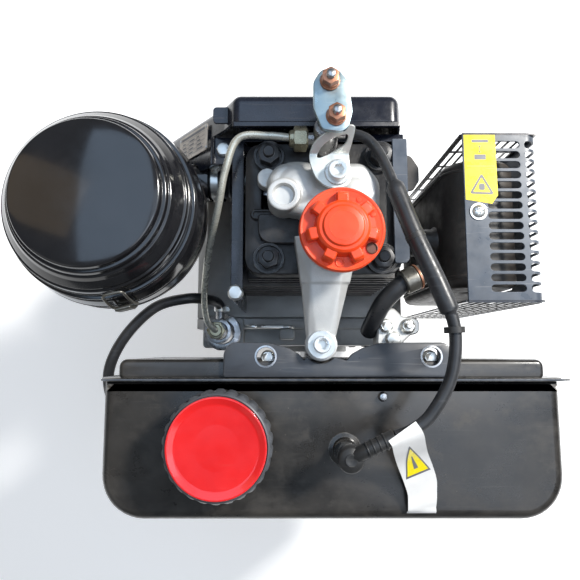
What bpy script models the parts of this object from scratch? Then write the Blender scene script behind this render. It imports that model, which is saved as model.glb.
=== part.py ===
"""A small air-cooled single-cylinder diesel engine with its own fuel tank, as an assembly of 60 pieces.

Sizes below are in millimetres and become metres as each mesh is made. The origin is on the flat underside
of the feet, straight below the crankshaft's axis. +X is the exhaust side, +Y the flywheel side, +Z up.
"""

import math

import bmesh
import bpy
from mathutils import Matrix, Vector

MM = 0.001
GAP = 0.3  # left between pieces that touch
WELD = 2e-6  # points nearer than this are one, in metres
ROUND = 20  # facets of a large turned piece
MIDDLE = 14  # facets of a middling one
SMALL = 10  # facets of a small one
LARGE = 24  # facets of the largest ones

# Crank train
CRANK_Z = 125.0
CYLINDER_Y = 4.0
THROW = 38.0
ROD_LENGTH = 125.0
PISTON_HEIGHT = 35.0  # pin to crown
BORE = 43.0  # radius
DECK_Z = CRANK_Z + THROW + ROD_LENGTH + PISTON_HEIGHT
PIN_Z = CRANK_Z + THROW + ROD_LENGTH
CRANKPIN_Z = CRANK_Z + THROW

# Timing gears and camshaft
MODULE = 3.125
CRANK_TEETH = 16
CAM_TEETH = 32
GEAR_CENTRES = MODULE * (CRANK_TEETH + CAM_TEETH) / 2
CAM_ANGLE = math.radians(150)
CAM_X = GEAR_CENTRES * math.cos(CAM_ANGLE)
CAM_Z = CRANK_Z + GEAR_CENTRES * math.sin(CAM_ANGLE)
GEAR_Y = (-59.0, -45.0)

# Valve train
INLET_Y = 23.0
EXHAUST_Y = -15.0
VALVE_X = 14.0
ROCKER_X = -15.0
ROCKER_Z = 366.0
PUSHROD_LOW = (CAM_X, 184.0)
PUSHROD_HIGH = (-44.0, 368.0)

# Castings
CASE_Y = (-75.0, 56.0)
CASE_TOP = 226.0
CASE_WALL = 9.0
HEAD_TOP = 385.0
COVER_TOP = 412.0
FACE_Y = -105.0  # drive-side face of the crankcase cover
NUT_X = 45.0
NUT_Y = 42.0

# Sheet metal
COWL_TOP = 377.0
HOUSING_Y = (70.0, 112.0)
HOUSING_TOP = 400.0
PLATE_STUDS = ((0.0, 80.0), (4.0, 54.0))
SHEET = 2.5

# Fuel tank
TANK_X = (-174.5, 184.0)
TANK_Y = (-239.5, -133.0)
TANK_Z = (247.0, 383.0)
FILLER = (-80.0, -178.0)
RETURN_SEAT = (14.0, -186.0)

# Other places
OIL_NECK = (8.0, -26.0)
LUG = (-4.0, -106.0)
CLEANER = (-179.5, 5.0)
PUMP = (-99.0, -91.0)
INTAKE = (40.0, 338.0)
EXHAUST = (EXHAUST_Y, 338.0)
INJECTOR_FOOT = (0.0, 37.0, 326.0)
INJECTOR_LEAN = math.atan(29.0 / 114.0)
HANDLE_ANGLE = math.radians(125)
CLIP_ANGLE = math.radians(-77)
LEVER_PIVOT = (-30.0, -86.0, 242.0)
DIPSTICK = (98.0, -40.0, 80.0)
DIPSTICK_TILT = math.radians(30)

FINISHES = {  # colour, roughness, metallic
    "cast_aluminium": ((0.62, 0.62, 0.60), 0.5, 0.9),
    "painted_casting": ((0.03, 0.03, 0.035), 0.5, 0.0),
    "black_sheet": ((0.012, 0.012, 0.015), 0.15, 0.0),
    "zinc": ((0.66, 0.66, 0.60), 0.3, 1.0),
    "yellow_zinc": ((0.55, 0.50, 0.28), 0.35, 1.0),
    "copper_plate": ((0.60, 0.32, 0.15), 0.35, 1.0),
    "steel": ((0.45, 0.45, 0.46), 0.35, 1.0),
    "iron": ((0.16, 0.16, 0.16), 0.6, 0.8),
    "rubber": ((0.02, 0.02, 0.02), 0.6, 0.0),
    "orange_plastic": ((0.80, 0.16, 0.03), 0.4, 0.0),
    "red_plastic": ((0.70, 0.02, 0.02), 0.35, 0.0),
    "black_plastic": ((0.025, 0.025, 0.025), 0.4, 0.0),
    "paper": ((0.75, 0.70, 0.55), 0.9, 0.0),
}


# ---------------------------------------------------------------- modelling tools


def to_world(axis, a, b, t):
    """A point (a, b) of an outline, t along its axis."""
    return Vector({"Z": (a, b, t), "Y": (a, t, b), "X": (t, a, b)}[axis]) * MM


def make_object(bm, name="shape"):
    bmesh.ops.recalc_face_normals(bm, faces=bm.faces)
    mesh = bpy.data.meshes.new(name)
    bm.to_mesh(mesh)
    bm.free()
    made = bpy.data.objects.new(name, mesh)
    bpy.context.collection.objects.link(made)
    return made


def slab(outline, low, high, axis="Z"):
    """An outline pushed out along an axis, from low to high."""
    bm = bmesh.new()
    rings = [[bm.verts.new(to_world(axis, a, b, t)) for a, b in outline] for t in (low, high)]
    count = len(outline)
    bm.faces.new(rings[0])
    bm.faces.new(rings[1])
    for i in range(count):
        j = (i + 1) % count
        bm.faces.new((rings[0][i], rings[0][j], rings[1][j], rings[1][i]))
    return make_object(bm)


def turned(profile, centre=(0.0, 0.0), axis="Z", steps=ROUND):
    """A profile of (height, radius) points turned round an axis. It closes on the axis, or on itself."""
    bm = bmesh.new()
    rows = []
    for height, radius in profile:
        count = steps if radius > 0 else 1
        angles = [math.tau * i / steps for i in range(count)]
        places = [(centre[0] + radius * math.cos(a), centre[1] + radius * math.sin(a)) for a in angles]
        rows.append([bm.verts.new(to_world(axis, a, b, height)) for a, b in places])
    pairs = list(zip(rows, rows[1:]))
    if profile[0][1] > 0:
        pairs.append((rows[-1], rows[0]))
    for near, far in pairs:
        for i in range(steps):
            j = (i + 1) % steps
            corners = (near[i % len(near)], near[j % len(near)], far[j % len(far)], far[i % len(far)])
            corners = tuple(dict.fromkeys(corners))
            if len(corners) > 2:
                bm.faces.new(corners)
    return make_object(bm)


def cylinder(radius, low, high, centre=(0.0, 0.0), axis="Z", steps=ROUND):
    return turned([(low, 0), (low, radius), (high, radius), (high, 0)], centre, axis, steps)


def sleeve(inner, outer, low, high, centre=(0.0, 0.0), axis="Z", steps=ROUND):
    return turned([(low, inner), (low, outer), (high, outer), (high, inner)], centre, axis, steps)


def hull(points):
    """The convex solid round a few points."""
    bm = bmesh.new()
    for point in points:
        bm.verts.new(Vector(point) * MM)
    bmesh.ops.convex_hull(bm, input=bm.verts)
    return make_object(bm)


def rounded(x0, x1, y0, y1, radius=0.0, steps=3):
    """A rectangle's outline with round corners."""
    if radius == 0:
        return [(x0, y0), (x1, y0), (x1, y1), (x0, y1)]
    points = []
    corners = ((x1 - radius, y1 - radius), (x0 + radius, y1 - radius), (x0 + radius, y0 + radius))
    corners += ((x1 - radius, y0 + radius),)
    for quarter, (cx, cy) in enumerate(corners):
        for i in range(steps + 1):
            angle = math.pi / 2 * (quarter + i / steps)
            points.append((cx + radius * math.cos(angle), cy + radius * math.sin(angle)))
    return points


def block(x, y, z, radius=0.0, axis="Z"):
    """A box between two values on each axis, its edges along one axis rounded."""
    spans = {"Z": (x, y, z), "Y": (x, z, y), "X": (y, z, x)}[axis]
    return slab(rounded(*spans[0], *spans[1], radius), *spans[2], axis)


def arc(centre, radius, start, end, steps):
    """Points on an arc, its angles in degrees."""
    points = []
    for i in range(steps + 1):
        angle = math.radians(start + (end - start) * i / steps)
        points.append((centre[0] + radius * math.cos(angle), centre[1] + radius * math.sin(angle)))
    return points


def inset(outline, distance):
    """The same anticlockwise outline with every side moved inwards."""
    points = [Vector(p) for p in outline]
    moved = []
    for i, point in enumerate(points):
        before = (point - points[i - 1]).normalized()
        after = (points[(i + 1) % len(points)] - point).normalized()
        normals = Vector((-before.y, before.x)), Vector((-after.y, after.x))
        shift = (normals[0] + normals[1]) / (1 + normals[0].dot(normals[1]))
        moved.append(tuple(point + shift * distance))
    return moved


def hexagon(centre, radius, turn=0.0):
    return arc(centre, radius, turn, turn + 300, 5)


def welded_mesh(source):
    """An object's evaluated mesh, with the points that lie on each other made one."""
    bpy.context.view_layer.update()
    graph = bpy.context.evaluated_depsgraph_get()
    mesh = bpy.data.meshes.new_from_object(source.evaluated_get(graph))
    bm = bmesh.new()
    bm.from_mesh(mesh)
    bmesh.ops.remove_doubles(bm, verts=bm.verts, dist=WELD)
    bmesh.ops.dissolve_degenerate(bm, dist=WELD, edges=bm.edges)
    bmesh.ops.holes_fill(bm, edges=[e for e in bm.edges if e.is_boundary])
    bmesh.ops.triangulate(bm, faces=bm.faces)
    bm.to_mesh(mesh)
    bm.free()
    return mesh


def combine(target, tools, operation):
    """A Boolean of the target with each tool, which is used up."""
    for tool in tools:
        step = target.modifiers.new(tool.name, "BOOLEAN")
        step.operation = operation
        step.object = tool
    mesh = welded_mesh(target)
    target.modifiers.clear()
    target.data = mesh
    for tool in tools:
        bpy.data.objects.remove(tool, do_unlink=True)
    return target


def join(target, *tools):
    return combine(target, tools, "UNION")


def cut(target, *tools):
    return combine(target, tools, "DIFFERENCE")


def together(shapes):
    """Several separate shapes as one cutter."""
    bm = bmesh.new()
    for shape in shapes:
        bm.from_mesh(shape.data)
        bpy.data.objects.remove(shape, do_unlink=True)
    return make_object(bm)


def move(shape, matrix):
    shape.data.transform(matrix)
    return shape


def turn(shape, angle, axis="Y", centre=(0.0, 0.0, 0.0)):
    place = Matrix.Translation(Vector(centre) * MM)
    return move(shape, place @ Matrix.Rotation(angle, 4, axis) @ place.inverted())


def aim(shape, foot, direction):
    """Stands a shape that was made along +Z on a point, along a direction."""
    lean = Vector((0, 0, 1)).rotation_difference(Vector(direction)).to_matrix().to_4x4()
    return move(shape, Matrix.Translation(Vector(foot) * MM) @ lean)


def smooth_route(points, steps):
    """Points on a smooth curve through a route's own points."""
    knots = [Vector(p) for p in points]
    knots = [2 * knots[0] - knots[1]] + knots + [2 * knots[-1] - knots[-2]]
    route = []
    for a, b, c, d in zip(knots, knots[1:], knots[2:], knots[3:]):
        for i in range(steps):
            t = i / steps
            route.append(0.5 * (2 * b + (c - a) * t + (2 * a - 5 * b + 4 * c - d) * t**2
                                + (3 * b - a - 3 * c + d) * t**3))
    return route + [knots[-2]]


def tube(points, radius, steps=4, sides=2, swell=None):
    """A round bar along a smooth route. swell gives the radius factor at each share of the way."""
    route = smooth_route(points, steps)
    data = bpy.data.curves.new("route", "CURVE")
    data.dimensions = "3D"
    data.bevel_depth = radius * MM
    data.bevel_resolution = sides
    data.use_fill_caps = True
    spline = data.splines.new("POLY")
    spline.points.add(len(route) - 1)
    for i, point in enumerate(route):
        spline.points[i].co = (*(point * MM), 1)
        if swell:
            spline.points[i].radius = swell(i / (len(route) - 1))
    made = bpy.data.objects.new("route", data)
    bpy.context.collection.objects.link(made)
    return made


def as_mesh(curve):
    """A tube as a mesh, its caps joined to its sides."""
    bm = bmesh.new()
    bm.from_mesh(welded_mesh(curve))
    bpy.data.objects.remove(curve, do_unlink=True)
    return make_object(bm)


def involute(angle):
    return math.tan(angle) - angle


def gear_outline(teeth, centre, first_angle, slack=0.5):
    """Stub involute teeth of 20 degrees, one of them centred on first_angle."""
    pitch = MODULE * teeth / 2
    base = pitch * math.cos(math.radians(20))
    radii = (pitch - 1.1 * MODULE, pitch, pitch + 0.8 * MODULE)
    half_at_pitch = (math.pi * MODULE / 2 - slack) / 2 / pitch
    flank = []
    for radius in radii:
        bend = involute(math.radians(20)) - involute(math.acos(min(1.0, base / radius)))
        flank.append((radius, half_at_pitch + bend))
    points = []
    for tooth in range(teeth):
        middle = first_angle + math.tau * tooth / teeth
        for side, rows in ((-1, flank), (1, flank[::-1])):
            for radius, half in rows:
                angle = middle + side * half
                points.append((centre[0] + radius * math.cos(angle), centre[1] + radius * math.sin(angle)))
    return points


def pivot(name, place, parent=None):
    """An empty on a joint's axis."""
    made = bpy.data.objects.new(name, None)
    bpy.context.collection.objects.link(made)
    made.parent = parent
    made.location = (Vector(place) - (Vector(parent["place"]) if parent else Vector())) * MM
    made["place"] = place
    return made


def finish(shape, name, look, carrier=None):
    """Names a piece, gives it its material, and hangs it on its carrier with its origin there."""
    shape.name = name
    shape.data.name = name
    colour, roughness, metallic = FINISHES[look]
    skin = bpy.data.materials.new(name)
    skin.use_nodes = True
    shader = skin.node_tree.nodes["Principled BSDF"]
    shader.inputs["Base Color"].default_value = (*colour, 1.0)
    shader.inputs["Roughness"].default_value = roughness
    shader.inputs["Metallic"].default_value = metallic
    shape.data.materials.clear()
    shape.data.materials.append(skin)
    if shape.type == "MESH":
        shape.data.shade_smooth()
        shape.data.set_sharp_from_angle(angle=math.radians(40))
    if carrier:
        shape.data.transform(Matrix.Translation(-Vector(carrier["place"]) * MM))
        shape.parent = carrier
    return shape


# ---------------------------------------------------------------- crankcase and crank train


def case_outline():
    right = [(-78, 8), (78, 8), (98, 64), (98, 214), (86, CASE_TOP)]
    return right + [(-118, CASE_TOP), (-130, 214), (-130, 112)]


def tunnel(y, radius, low, high):
    """A bore along a pushrod's line, between two heights."""
    lean = (PUSHROD_HIGH[0] - PUSHROD_LOW[0]) / (PUSHROD_HIGH[1] - PUSHROD_LOW[1])
    ends = [(PUSHROD_LOW[0] + lean * (z - PUSHROD_LOW[1]), y, z) for z in (low, high)]
    way = Vector(ends[1]) - Vector(ends[0])
    return aim(cylinder(radius, 0, way.length, steps=SMALL), ends[0], way)


def dipstick_direction():
    return (math.cos(DIPSTICK_TILT), 0, math.sin(DIPSTICK_TILT))


def crankcase():
    body = slab(case_outline(), *CASE_Y, "Y")
    feet = block((-108, 108), (-70, 52), (0, 14), 12)
    join(body, feet)
    room = slab(inset(case_outline(), CASE_WALL), CASE_Y[0] - 2, CASE_Y[1] - 12, "Y")
    bearing = cylinder(36 + GAP, 40, 60, (0, CRANK_Z), "Y")
    cam_end = cylinder(9.6, 40, 51, (CAM_X, CAM_Z), "Y", SMALL)
    barrel = cylinder(48, 203, 230, (0, CYLINDER_Y))
    skirt_room = cylinder(BORE + 1.5, 178, 210, (0, CYLINDER_Y))
    dip = aim(cylinder(8, -30, 12, steps=SMALL), DIPSTICK, dipstick_direction())
    holes = [cylinder(5.5, -2, 16, (x, y), steps=SMALL) for x in (-94, 94) for y in (-56, 38)]
    tunnels = [tunnel(y, 6, 212, 230) for y in (INLET_Y, EXHAUST_Y)]
    cut(body, room, bearing, cam_end, barrel, skirt_room, dip, *holes, *tunnels)
    return finish(body, "crankcase", "cast_aluminium")


def crankcase_cover():
    body = slab(case_outline(), -87, CASE_Y[0] - GAP, "Y")
    raised = slab(inset(case_outline(), 12), FACE_Y, -86, "Y")
    boss = cylinder(46, -112, -80, (0, CRANK_Z), "Y")
    pump_pad = block((-121, -77), (-108, CASE_Y[0] - GAP), (200, 228), 4)
    lever_post = block((-38, -22), (-99, -88), (205, 252), 3)
    join(body, raised, boss, pump_pad, lever_post)
    room = slab(inset(case_outline(), 20), -99, -70, "Y")
    cut(body, room)
    join(body, sleeve(30, 45, -101, -79, (0, CRANK_Z), "Y"), cylinder(16, -101, -77, (CAM_X, CAM_Z), "Y"))
    seat = cylinder(36 + GAP, -97, -70, (0, CRANK_Z), "Y")
    hole = cylinder(16, -115, -90, (0, CRANK_Z), "Y")
    cam_end = cylinder(9.6, -90, -70, (CAM_X, CAM_Z), "Y", SMALL)
    bolts = [cylinder(4, -110, -96.5, (x, z), "Y", SMALL) for x in (-60, 60) for z in (75, 195)]
    cut(body, seat, hole, cam_end, *bolts)
    return finish(body, "crankcase_cover", "cast_aluminium")


def main_bearing(name, low, high):
    return finish(sleeve(20, 36, low, high, (0, CRANK_Z), "Y"), name, "steel")


def web_outline():
    points = arc((0, CRANKPIN_Z), 17, 0, 180, 8)
    return points + [(-24, CRANK_Z)] + arc((0, CRANK_Z), 52, 205, 335, 12) + [(24, CRANK_Z)]


def crankshaft(carrier):
    axis = (0, CRANK_Z)
    front = [(-172, 0), (-172, 11), (-170, 12.5), (-113, 12.5), (-113, 15), (-98, 15), (-98, 19.7)]
    front += [(-30, 19.7), (-30, 24), (-20, 24), (-20, 0)]
    rear = [(30, 0), (30, 24), (40, 24), (40, 19.7), (60, 19.7), (60, 16), (66, 16), (96, 13), (96, 8)]
    rear += [(108, 8), (108, 0)]
    shaft = turned(front, axis, "Y")
    webs = [slab(web_outline(), low, low + 16, "Y") for low in (-27, 19)]
    journal = cylinder(14, -13, 21, (0, CRANKPIN_Z), "Y")
    gear = slab(gear_outline(CRANK_TEETH, axis, CAM_ANGLE), *GEAR_Y, "Y")
    join(shaft, *webs, journal, turned(rear, axis, "Y"), gear)
    cut(shaft, block((-3, 3), (-168, -125), (CRANK_Z + 9, CRANK_Z + 14)))
    return finish(shaft, "crankshaft", "steel", carrier)


def fan_ring(count, inner, outer, low, high):
    """Straight fan blades round the flywheel's rim, joined by a low ring."""
    points = []
    share = math.tau / count
    for i in range(count):
        for radius, part in ((inner, 0), (outer, 0), (outer, 0.25), (inner, 0.25)):
            angle = share * (i + part)
            points.append((radius * math.cos(angle), CRANK_Z + radius * math.sin(angle)))
    return cut(slab(points, low, high, "Y"), cylinder(inner - 4, low - 1, high + 1, (0, CRANK_Z), "Y"))


def flywheel(carrier):
    bore = 13 + GAP
    profile = [(66, 16 + GAP), (66, 30), (78, 30), (78, 84), (74, 84), (74, 110), (94, 110), (94, 84)]
    profile += [(88, 84), (88, 30), (100, 30), (100, bore), (96, bore)]
    wheel = turned(profile, (0, CRANK_Z), "Y", LARGE)
    join(wheel, fan_ring(10, 88, 108, 93, 101))
    return finish(wheel, "flywheel", "iron", carrier)


def starter_cup(carrier):
    profile = [(100.3, 12), (100.3, 44), (117, 44), (117, 41), (103.3, 41), (103.3, 12)]
    return finish(turned(profile, (0, CRANK_Z), "Y"), "starter_cup", "steel", carrier)


def lobe_outline(centre, nose_angle):
    """A cam lobe: base circle, nose circle and the flanks between them."""
    base, nose, reach = 13.0, 6.0, 13.0
    lean = math.acos((base - nose) / reach)
    tip = (centre[0] + reach * math.cos(nose_angle), centre[1] + reach * math.sin(nose_angle))
    degrees = math.degrees(nose_angle)
    half = math.degrees(lean)
    return (arc(tip, nose, degrees - half, degrees + half, 4)
            + arc(centre, base, degrees + half, degrees + 360 - half, 9))


def camshaft(carrier):
    axis = (CAM_X, CAM_Z)
    shaft = cylinder(9, -89, 50, axis, "Y", SMALL)
    facing_gap = CAM_ANGLE + math.pi + math.pi / CAM_TEETH
    gear = slab(gear_outline(CAM_TEETH, axis, facing_gap), *GEAR_Y, "Y")
    lobes = []
    for y, angle in ((INLET_Y, -55), (EXHAUST_Y, -125)):
        lobes.append(slab(lobe_outline(axis, math.radians(angle)), y - 6, y + 6, "Y"))
    join(shaft, gear, *lobes)
    return finish(shaft, "camshaft", "steel", carrier)


def piston(carrier):
    centre = (0, CYLINDER_Y)
    crown = DECK_Z - 0.5
    profile = [(303, 0), (303, 36), (257, 36), (257, BORE - GAP)]
    for groove in (303.5, 309):
        profile += [(groove, BORE - GAP), (groove, 41), (groove + 2, 41), (groove + 2, BORE - GAP)]
    profile += [(crown, BORE - GAP), (crown, 0)]
    body = turned(profile, centre, "Z", LARGE)
    bosses = cylinder(16, -33, 41, (0, PIN_Z), "Y", MIDDLE)
    join(body, bosses)
    gap = block((-20, 20), (-11, 19), (255, 302.9))
    bore = cylinder(10 + GAP, -45, 55, (0, PIN_Z), "Y", SMALL)
    pockets = []
    for y in (INLET_Y, EXHAUST_Y):
        pockets.append(cylinder(17.5, crown - 9.6, crown + 2, (VALVE_X, y), steps=MIDDLE))
    bowl = cylinder(15, crown - 12, crown + 2, (-12, CYLINDER_Y), steps=MIDDLE)
    cut(body, gap, bore, *pockets, bowl)
    return finish(body, "piston", "cast_aluminium", carrier)


def piston_pin(carrier):
    return finish(sleeve(6, 10, -34, 42, (0, PIN_Z), "Y", SMALL), "piston_pin", "steel", carrier)


def connecting_rod(carrier):
    big = cylinder(24, -8, 16, (0, CRANKPIN_Z), "Y", MIDDLE)
    small = cylinder(14.5, -8, 16, (0, PIN_Z), "Y", MIDDLE)
    ends = [(x, y, CRANKPIN_Z + 16) for x in (-11, 11) for y in (-1, 9)]
    ends += [(x, y, PIN_Z - 8) for x in (-7, 7) for y in (-1, 9)]
    join(big, small, hull(ends))
    crankpin_hole = cylinder(14 + GAP, -12, 20, (0, CRANKPIN_Z), "Y")
    cut(big, crankpin_hole, cylinder(10 + GAP, -12, 20, (0, PIN_Z), "Y", SMALL))
    return finish(big, "connecting_rod", "steel", carrier)


def oil_dipstick(carrier):
    profile = [(-55, 0), (-55, 3), (-6, 3), (-6, 7.5), (8, 7.5), (8, 12), (18, 12), (20, 10), (20, 0)]
    return finish(aim(turned(profile, steps=SMALL), DIPSTICK, dipstick_direction()), "oil_dipstick",
                  "black_plastic", carrier)


# ---------------------------------------------------------------- cylinder, head and valve train


def cylinder_barrel():
    low = CASE_TOP + GAP
    high = DECK_Z - GAP
    body = block((-70, 52), (-46, 54), (low, high), 14)
    fins = [block((-73, 61), (-52, 60), (z, z + 5)) for z in range(236, 318, 16)]
    join(body, cylinder(47.6, 204, 240, (0, CYLINDER_Y)), *fins)
    tunnels = [tunnel(y, 5.5, 215, 330) for y in (INLET_Y, EXHAUST_Y)]
    cut(body, cylinder(BORE, 200, 330, (0, CYLINDER_Y), steps=LARGE), *tunnels)
    return finish(body, "cylinder_barrel", "iron")


def injector_direction():
    return (0, math.sin(INJECTOR_LEAN), math.cos(INJECTOR_LEAN))


def injector_point(z):
    """The point of the injector's axis at a height."""
    return (INJECTOR_FOOT[0], INJECTOR_FOOT[1] + (z - INJECTOR_FOOT[2]) * math.tan(INJECTOR_LEAN), z)


def cylinder_head():
    core = block((-60, 56), (-46, 54), (DECK_Z + GAP, HEAD_TOP - 2), 8)
    plates = [block((-64, 62), (-50, 58), (z, z + 6)) for z in (DECK_Z + GAP + 0.1, 337, 350)]
    top = block((-64, 62), (-50, 58), (364, HEAD_TOP), 12)
    boss = aim(cylinder(12, 18, 62, steps=MIDDLE), INJECTOR_FOOT, injector_direction())
    ports = [cylinder(14, -64, -40, INTAKE, "X", MIDDLE), cylinder(14, 40, 62, EXHAUST, "X", MIDDLE)]
    join(core, *plates, top, boss, *ports)
    room = block((-51, 38), (-22.5, 31.5), (350, HEAD_TOP + 2))
    cut(core, room)
    join(core, block((-24, -6), (-5, 13), (349, 380), 3))
    cuts = [cylinder(8 + GAP, -22.5, 31.5, (ROCKER_X, ROCKER_Z), "Y", MIDDLE)]
    for y in (INLET_Y, EXHAUST_Y):
        cuts.append(cylinder(3.5 + GAP, 320, 352, (VALVE_X, y), steps=SMALL))
        cuts.append(cylinder(17.3, 320, 328, (VALVE_X, y), steps=MIDDLE))
        cuts.append(cylinder(12.5, 327, 342, (VALVE_X, y), steps=MIDDLE))
        cuts.append(tunnel(y, 5.5, 318, 355))
    cuts.append(cylinder(9.5, -70, VALVE_X, INTAKE, "X", MIDDLE))
    cuts.append(cylinder(10.5, VALVE_X, 70, EXHAUST, "X", MIDDLE))
    cuts.append(aim(cylinder(4.2, -8, 30, steps=SMALL), INJECTOR_FOOT, injector_direction()))
    cuts.append(aim(cylinder(8.5 + GAP, 21.5, 70, steps=MIDDLE), INJECTOR_FOOT, injector_direction()))
    cut(core, *cuts)
    return finish(core, "cylinder_head", "painted_casting")


def head_nut(number, x, y):
    """A hexagon nut on its washer, with the stud's end."""
    top = HEAD_TOP + GAP
    nut = cylinder(10.5, top, top + 2.5, (x, y), steps=MIDDLE)
    stud_end = cylinder(5, top + 11, top + 16, (x, y), steps=SMALL)
    join(nut, slab(hexagon((x, y), 9), top + 2, top + 12), stud_end)
    return finish(nut, f"head_nut_{number}", "black_plastic")


def pushrod(name, y, carrier):
    low = Vector((PUSHROD_LOW[0], y, PUSHROD_LOW[1]))
    way = Vector((PUSHROD_HIGH[0], y, PUSHROD_HIGH[1])) - low
    end = way.length
    profile = [(0, 0), (0.5, 3), (3, 4), (6, 3.5), (end - 3, 3.5), (end - 0.5, 2.5), (end, 0)]
    return finish(aim(turned(profile, steps=SMALL), low, way), name, "steel", carrier)


def rocker(name, y, carrier):
    outline = [(-50, 368.7), (-38, 368.7), (-27, 358), (-15, 353), (-5, 357), (1, 367), (20, 366.7)]
    outline += [(21, 374), (2, 379), (-15, 381), (-34, 379), (-50, 376)]
    arm = slab(outline, y - 6, y + 6, "Y")
    cut(arm, cylinder(8 + GAP, y - 10, y + 10, (ROCKER_X, ROCKER_Z), "Y", MIDDLE))
    return finish(arm, name, "steel", carrier)


def valve(name, y, carrier):
    profile = [(323.8, 0), (323.8, 16.3), (326, 16.3), (331, 3.5), (362.3, 3.5), (362.3, 7), (365, 7)]
    profile += [(365, 3.5), (366, 3.5), (366, 0)]
    return finish(turned(profile, (VALVE_X, y), steps=MIDDLE), name, "steel", carrier)


def valve_spring(name, y):
    return finish(sleeve(4.8, 7, 350.3, 362, (VALVE_X, y), steps=MIDDLE), name, "steel")


def rocker_cover():
    flange = block((-54, 42), (-26, 35), (HEAD_TOP + GAP, 392), 12)
    body = block((-46, 42), (-25, 35), (391, COVER_TOP), 14)
    neck = cylinder(25, 396, 431.7, OIL_NECK)
    left_boss = cylinder(13, 400, COVER_TOP + 2, (-33, 7), steps=MIDDLE)
    bracket_boss = cylinder(10, 400, 417.7, (7, 24), steps=MIDDLE)
    column = hull([(x, -24, z) for x in (-26, 26) for z in (386, COVER_TOP - 1)]
                  + [(x, -60, z) for x in (-21, 19) for z in (386, 404)])
    nose = hull([(x, -59, z) for x in (-21, 19) for z in (386, 404)]
                + [(x, LUG[1] + 4, z) for x in (-16, 8) for z in (384, 393)])
    lug = cylinder(13, 384, 393, LUG, steps=MIDDLE)
    join(flange, body, column, nose, lug, neck, left_boss, bracket_boss)
    low_room = block((-50, 38), (-22, 31), (380, 389), 9)
    room = block((-40, 38), (-21, 31), (388, 407), 10)
    bore = cylinder(18, 394, 440, OIL_NECK)
    screw_seat = cylinder(12.5, 393, 410, LUG, steps=MIDDLE)
    cut(flange, low_room, room, bore, screw_seat, cylinder(8, 409, 420, (-33, 7), steps=SMALL))
    return finish(flange, "rocker_cover", "cast_aluminium")


def rocker_cover_screw():
    screw = cylinder(11, 393.3, 395.3, LUG, steps=MIDDLE)
    join(screw, cylinder(6.5, 395, 403, LUG, steps=MIDDLE))
    cut(screw, slab(hexagon(LUG, 3.5), 399, 405))
    return finish(screw, "rocker_cover_screw", "zinc")


def lifting_bracket():
    side = [(8, 418), (36, 418), (46, 436.7), (67, 436.7), (67, 439.7), (44.4, 439.7), (34.4, 421), (8, 421)]
    plate = slab(side, -14, 19, "X")
    slot = block((-7, 12), (37.5, 43), (410, 450), 2)
    cut(plate, slot)
    return finish(plate, "lifting_bracket", "zinc")


def lifting_bracket_screw():
    return finish(slab(hexagon((7, 21), 8), 421.3, 428), "lifting_bracket_screw", "zinc")


def bracket_plate():
    low = 440.3
    outline = arc((2, 76), 14, 0, 180, 10) + arc((2, 60), 14, 180, 360, 10)
    plate = slab(outline, low, low + 4)
    cut(plate, *[cylinder(3.8, low - 3, low + 8, place, steps=SMALL) for place in PLATE_STUDS])
    return finish(plate, "bracket_plate", "zinc")


def plate_nut(name, place, stud_foot):
    nut = cylinder(7.4, 444.6, 446.6, place, steps=SMALL)
    join(nut, slab(hexagon(place, 6.4), 446, 453), cylinder(3.2, stud_foot, 457, place, steps=SMALL))
    return finish(nut, name, "copper_plate")


def injector():
    profile = [(0, 0), (0, 3.8), (22, 3.8), (22, 8.5), (70, 8.5)]
    profile += [(70, 10), (92, 10), (92, 6), (108, 6), (108, 0)]
    body = aim(turned(profile, steps=MIDDLE), INJECTOR_FOOT, injector_direction())
    inlet = injector_point(400)
    leak = injector_point(406)
    join(body, cylinder(5, -14, -2, inlet[1:], "X", SMALL), cylinder(4, 2, 15, leak[1:], "X", SMALL))
    return finish(body, "injector", "steel")


# ---------------------------------------------------------------- fuel injection


def injection_pump():
    profile = [(228.3, 0), (228.3, 20), (237, 20), (237, 13), (266, 13), (266, 9), (281, 9), (281, 0)]
    body = turned(profile, PUMP, steps=MIDDLE)
    join(body, cylinder(4.5, PUMP[1] + 8, PUMP[1] + 20, (PUMP[0], 258), "Y", SMALL))
    return finish(body, "injection_pump", "steel")


def injection_pipe():
    inlet = injector_point(400)
    route = [(-20, inlet[1], 400), (-45, 58, 401), (-69, 57, 398), (-80, 34, 390), (-87, 8, 376),
             (-100, -26, 340), (-107, -60, 314), (-106, -82, 300), (-100, -90, 293), (PUMP[0], PUMP[1], 286)]
    pipe = as_mesh(tube(route, 3, 3))
    nut = slab(hexagon((inlet[1], 400), 9.5), -29, -14.4, "X")
    pump_nut = slab(hexagon(PUMP, 8.5), 281.3, 292)
    join(pipe, nut, pump_nut)
    return finish(pipe, "injection_pipe", "yellow_zinc")


# ---------------------------------------------------------------- oil filler


def oil_filler_cap(carrier):
    profile = [(434.4, 0), (434.4, 30.5), (438.5, 30.5), (439.5, 29), (439.5, 20)]
    profile += [(449, 18), (451, 14), (451, 0)]
    cap = turned(profile, OIL_NECK)
    lugs = []
    for i in range(7):
        lug = block((OIL_NECK[0] + 15, OIL_NECK[0] + 27), (OIL_NECK[1] - 4.5, OIL_NECK[1] + 4.5), (438, 447))
        lugs.append(turn(lug, math.tau * i / 7, "Z", (*OIL_NECK, 0)))
    join(cap, *lugs)
    return finish(cap, "oil_filler_cap", "orange_plastic", carrier)


def oil_cap_seal(carrier):
    """The cap's plug, which goes down into the neck, with its sealing rim."""
    profile = [(420, 0), (420, 16), (421, 17), (432, 17), (432, 24), (434, 24), (434, 0)]
    return finish(turned(profile, OIL_NECK, steps=MIDDLE), "oil_cap_seal", "rubber", carrier)


# ---------------------------------------------------------------- cooling sheet metal and starter


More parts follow.
